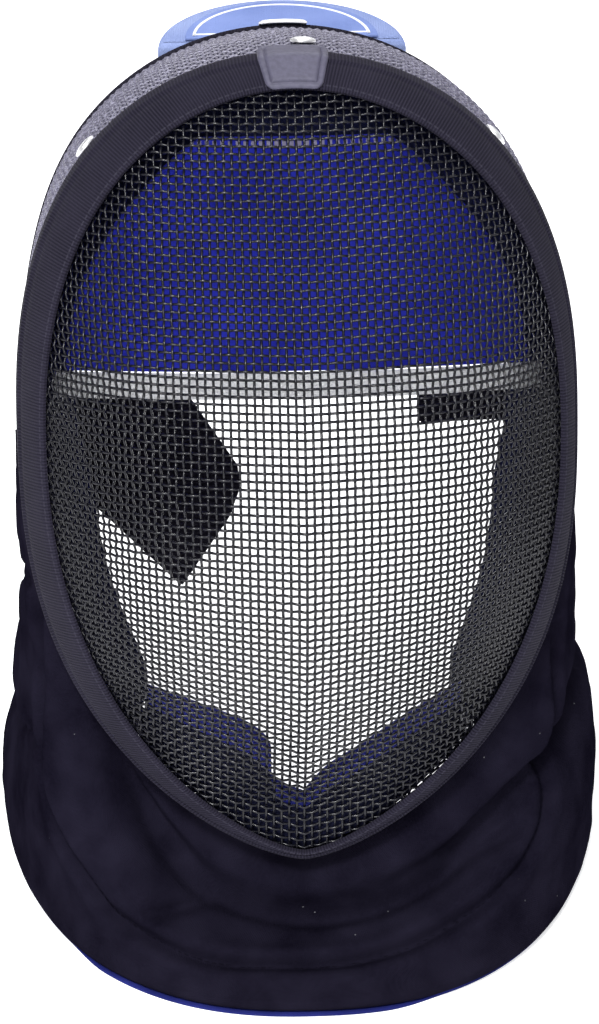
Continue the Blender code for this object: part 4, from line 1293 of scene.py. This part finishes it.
def bib_skins(sections, stations):
    """Outer skin of the bib and its normals; the last stations turn under the hem."""
    way = np.linspace(-1, 1, sections)
    hem_z = LINING_WALL + LINING_GAP
    top = bib_top(way, TRIM_GAP + TRIM_WALL + bib_proud(way))
    hem_x, hem_y = hem_point(way, 0.0)
    inward = hem_inward(way)
    drop = np.linspace(0, 1, stations)
    low = hem_z + HEM_EDGE
    z = top[:, 2:] + (low - top[:, 2:]) * drop
    x = top[:, :1] + (hem_x[:, None] - top[:, :1]) * bib_spread(way, drop)
    y = top[:, 1:2] + (hem_y[:, None] - top[:, 1:2]) * drop
    moved = -SKIRT_PUFF * np.sin(np.pi * drop) ** 2 * (1 - sideness(way))
    for fold in BIB_FOLDS:
        centre = follow(fold, 1, way)
        depth = FOLD_DEPTH * follow(fold, 2, way)
        depth = np.where((way < fold[0][0]) | (way > fold[-1][0]), 0, depth)
        level = top[:, 2] + (low - top[:, 2]) * centre
        moved = moved + depth[:, None] * np.exp(-(((z - level[:, None]) / FOLD_SPREAD) ** 2))
    moved[:, 0] = 0
    x = x + inward[:, :1] * moved
    y = y + inward[:, 1:] * moved
    skin = np.stack([x, y, z], -1)
    turned = []
    for turn in np.radians((30, 60, 90)):
        inset = HEM_ROLL * (1 - math.cos(turn))
        foot_x, foot_y = hem_point(way, inset)
        height = low - (HEM_EDGE + HEM_COVER) * math.sin(turn)
        turned.append(np.stack([foot_x, foot_y, np.full(sections, height)], -1))
    skin = np.concatenate([skin, np.stack(turned, 1)], 1)
    around = np.gradient(skin, axis=0)
    down = np.gradient(skin, axis=1)
    normal = unit(np.cross(down, around))
    normal[:, -5:] = normal[:, -6:-5]
    if (normal[:, 8, :2] * inward).sum() > 0:
        normal = -normal
    return skin, normal


def line_distance(skin, stations, line):
    """Distance of each point of a skin from a line on it, and the share of the line that it is nearest to."""
    table = [(k, *row) for k, row in enumerate(line)]
    share = np.linspace(0, 1, 40 * len(line))
    at = share * (len(line) - 1)
    i = (follow(table, 1, at) + 1) / 2 * (len(skin) - 1)
    j = follow(table, 2, at) * (stations - 1)
    low_i = np.minimum(i.astype(int), len(skin) - 2)
    low_j = np.minimum(j.astype(int), stations - 2)
    s, t = (i - low_i)[:, None], (j - low_j)[:, None]
    path = (
        skin[low_i, low_j] * (1 - s) * (1 - t)
        + skin[low_i + 1, low_j] * s * (1 - t)
        + skin[low_i, low_j + 1] * (1 - s) * t
        + skin[low_i + 1, low_j + 1] * s * t
    )
    distance = np.zeros(skin.shape[:2])
    nearest = np.zeros(skin.shape[:2])
    for row in range(len(skin)):
        away = np.linalg.norm(skin[row][:, None] - path[None], axis=-1)
        distance[row] = away.min(1)
        nearest[row] = share[away.argmin(1)]
    return distance, nearest


def make_bib(black, blue):
    sections, stations = 361, 96
    skin, normal = bib_skins(sections, stations)
    steps = np.linalg.norm(np.diff(skin, axis=1), axis=-1)
    from_hem = np.concatenate([np.cumsum(steps[:, ::-1], 1)[:, ::-1], np.zeros((sections, 1))], 1)
    from_top = np.concatenate([np.zeros((sections, 1)), np.cumsum(steps, 1)], 1)
    run = np.concatenate([[0.0], np.cumsum(np.linalg.norm(np.diff(skin[:, -4], axis=0), axis=-1))])
    fade = np.clip(from_hem / 0.006, 0, 1) * np.clip(from_top / 0.012, 0, 1)
    from_seam, along_seam = line_distance(skin, stations, SEAM_LINE)
    seam = np.exp(-((from_seam / SEAM_SPREAD) ** 2))
    roll = np.exp(-(((from_seam - ROLL_OFFSET) / ROLL_SPREAD) ** 2))
    pucker = np.sin(along_seam * PUCKERS * 2 * np.pi + 2 * np.sin(along_seam * 60))
    pucker = pucker * np.exp(-from_seam / 0.005)
    creased = np.zeros(skin.shape[:2])
    for depth, spread, line in BIB_CREASES:
        away, along = line_distance(skin, stations, line)
        creased += depth * np.exp(-((away / spread) ** 2)) * np.sin(np.pi * along) ** 0.5
    wave = np.zeros(skin.shape[:2])
    for i in range(sections):
        for j in range(skin.shape[1]):
            at = skin[i, j]
            slow = noise.noise(Vector((at[0] * 22, at[1] * 22, at[2] * 34)))
            fine = noise.noise(Vector((at[0] * 75 + 9, at[1] * 75, at[2] * 110)))
            wave[i, j] = SLOW_WAVE * slow + FINE_WAVE * fine
    height = HEM_PUFF * roll - SEAM_DEPTH * seam + PUCKER_HEIGHT * pucker + wave - creased
    outer = skin + normal * (height * fade)[..., None]
    hem_z = LINING_WALL + LINING_GAP
    way = np.linspace(-1, 1, sections)
    seam_wall = (TRIM_WALL + np.minimum(bib_proud(way), BIB_PROUD))[:, None]
    full = np.linspace(0, 1, stations + 3) / (0.37 * (1 + 0.5 * sideness(way)))
    wall_height = seam_wall + (BIB_WALL - seam_wall) * np.clip(full, 0, 1)
    inner = skin - normal * wall_height[..., None]
    inner[..., 2] = np.maximum(inner[..., 2], hem_z)
    inner[:, 0] = bib_top(way, GAP + np.maximum(bib_proud(way) - BIB_PROUD, 0))
    uv = np.stack([run[:, None] + 0 * from_hem, from_seam], -1)
    made = shell("quilted_bib", outer, inner, black, uv=uv, sharp=60)
    piece(made, "bib")

    over = inner - normal * LINING_GAP
    under = inner - normal * (LINING_GAP + LINING_WALL)
    over[..., 2] = np.maximum(over[..., 2], LINING_WALL)
    under[..., 2] = np.maximum(under[..., 2], 0.0)
    over[:, -1, 2] = LINING_WALL
    under[:, -1, 2] = 0.0
    start = int(0.15 * stations)
    lip_over, lip_under = [], []
    tuck = LIP_TUCK * follow(LIP_SHOWS, 1, way) + LIP_INSET
    for inset, top in ((0.0012, LINING_WALL), (0.0, LIP_HEIGHT), (-LINING_LIP, LIP_HEIGHT * 0.8)):
        x, y = hem_point(way, inset + tuck)
        lip_over.append(np.stack([x, y, np.full(sections, top)], -1))
        lip_under.append(np.stack([x, y, np.zeros(sections)], -1))
    over = np.concatenate([over[:, start:], np.stack(lip_over, 1)], 1)
    under = np.concatenate([under[:, start:], np.stack(lip_under, 1)], 1)
    made = shell("bib_inner_cloth", over, under, blue, sharp=60)
    piece(made, "bib_lining")


# Straps


def strap(name, node, finish):
    """A flat strap with soft edges over its solid, whose corners are read from the solid's own outline."""
    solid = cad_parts[node]
    made = bpy.data.objects.new(name, solid.data.copy())
    bpy.context.scene.collection.objects.link(made)
    made.data.materials.clear()
    made.data.materials.append(finish)
    work = bmesh.new()
    work.from_mesh(made.data)
    bmesh.ops.remove_doubles(work, verts=work.verts, dist=1e-6)
    bmesh.ops.dissolve_limit(work, angle_limit=math.radians(1), verts=work.verts, edges=work.edges)
    bmesh.ops.bevel(work, geom=work.edges[:], offset=STRAP_ROUND, segments=3, affect="EDGES")
    layer = work.loops.layers.uv.new("Lengths")
    lean = math.radians(LEAN)
    for face in work.faces:
        for loop in face.loops:
            at = loop.vert.co
            up = at.z * math.cos(lean) + at.y * math.sin(lean)
            loop[layer].uv = (up, at.x + 0.3)
    work.to_mesh(made.data)
    work.free()
    made.data.shade_smooth()
    made.data.set_sharp_from_angle(angle=math.radians(40))
    piece(made, node)


# Studio


def soft_light(name, spot, target, size, power):
    data = bpy.data.lights.new(name, "AREA")
    data.shape = "RECTANGLE"
    data.size, data.size_y = size
    data.energy = power
    made = bpy.data.objects.new(name, data)
    made.location = spot
    made.rotation_euler = (Vector(target) - Vector(spot)).to_track_quat("-Z", "Y").to_euler()
    bpy.context.scene.collection.objects.link(made)


def make_studio():
    bpy.context.scene.view_settings.view_transform = "Standard"
    made, tree, shader = look("white_floor", (0.90, 0.90, 0.92), 0.9)
    shader.inputs["Emission Color"].default_value = (1.0, 1.0, 1.0, 1.0)
    shader.inputs["Emission Strength"].default_value = 0.58
    bpy.ops.mesh.primitive_plane_add(size=12, location=(0, 0, -0.0002))
    floor = bpy.context.object
    floor.name = "floor"
    floor.data.materials.append(made)
    world = bpy.data.worlds.new("studio")
    bpy.context.scene.world = world
    world.use_nodes = True
    background = world.node_tree.nodes["Background"]
    background.inputs[0].default_value = (1.0, 1.0, 1.0, 1.0)
    background.inputs[1].default_value = 0.28
    above = bpy.data.lights.new("above", "SUN")
    above.energy = 1.3
    above.angle = math.radians(50)
    sky_light = bpy.data.objects.new("above", above)
    sky_light.rotation_euler = (math.radians(22), math.radians(-8), 0)
    bpy.context.scene.collection.objects.link(sky_light)
    for row in SOFT_LIGHTS:
        soft_light(*row)


def make_camera():
    aim = Vector(MASK_FRAME @ Vector(CAMERA_AIM))
    rise, turn = math.radians(CAMERA_ELEVATION), math.radians(CAMERA_TURN)
    back = Vector((-math.sin(turn) * math.cos(rise), -math.cos(turn) * math.cos(rise), math.sin(rise)))
    data = bpy.data.cameras.new("camera")
    data.lens = CAMERA_LENS
    data.sensor_width = 36.0
    made = bpy.data.objects.new("camera", data)
    made.location = aim + back * CAMERA_DISTANCE
    made.rotation_euler = (-back).to_track_quat("-Z", "Y").to_euler()
    bpy.context.scene.collection.objects.link(made)
    bpy.context.scene.camera = made


def main():
    make_camera()
    make_studio()
    steel = steel_look()
    front_wire = wire_look("wire_black", (0.003, 0.003, 0.006), (0.009, 0.009, 0.016))
    # The side wires are the same black lacquered wire as the front ones; their grey colour is painted sheen
    # for the light that grazes them.
    side_wire_painted_sheen = wire_look("black_wire_painted_grey_sheen", (0.120, 0.115, 0.160), (0.300, 0.290, 0.390))
    blue_cloth = cloth("blue_cloth", (0.010, 0.013, 0.085), (0.022, 0.028, 0.170), 0.0009, 0.0002)
    navy = cloth("navy_cloth", (0.007, 0.008, 0.024), (0.014, 0.016, 0.048), 0.0010, 0.0003)
    bib_black = cloth(
        "bib_black",
        (0.0038, 0.0032, 0.0072),
        (0.0115, 0.0102, 0.0195),
        0.0008,
        0.00016,
        lint=0.4,
        seam=True,
    )
    sky = cloth("sky_cloth", (0.21, 0.27, 0.52), (0.30, 0.37, 0.63), 0.0010, 0.0002)
    panel = cloth("panel_cloth", (0.16, 0.22, 0.48), (0.22, 0.29, 0.58), 0.0007, 0.0001)
    line = cloth("white_print", (0.80, 0.82, 0.88), (0.90, 0.92, 0.96), 0.0007, 0.0001)
    make_front_weave(front_wire)
    make_side_weave(side_wire_painted_sheen)
    make_trim(trim_look())
    make_tab(vinyl_look())
    make_caps(steel)
    tape = ribbed_cloth("black_tape", (0.012, 0.011, 0.018), (0.032, 0.030, 0.044), RIB_PITCH)
    make_back_binding(tape)
    make_tongue(sky, panel, line, steel)
    make_forehead(forehead_look(), towel_look())
    make_pads(navy, chin_look())
    elastic = ribbed_cloth("black_elastic_ribs", (0.008, 0.007, 0.012), (0.022, 0.020, 0.030), 0.0018)
    strap("wide_elastic", "back_strap", elastic)
    strap("short_elastic", "strap_tab", elastic)
    make_bib(bib_black, blue_cloth)


main()
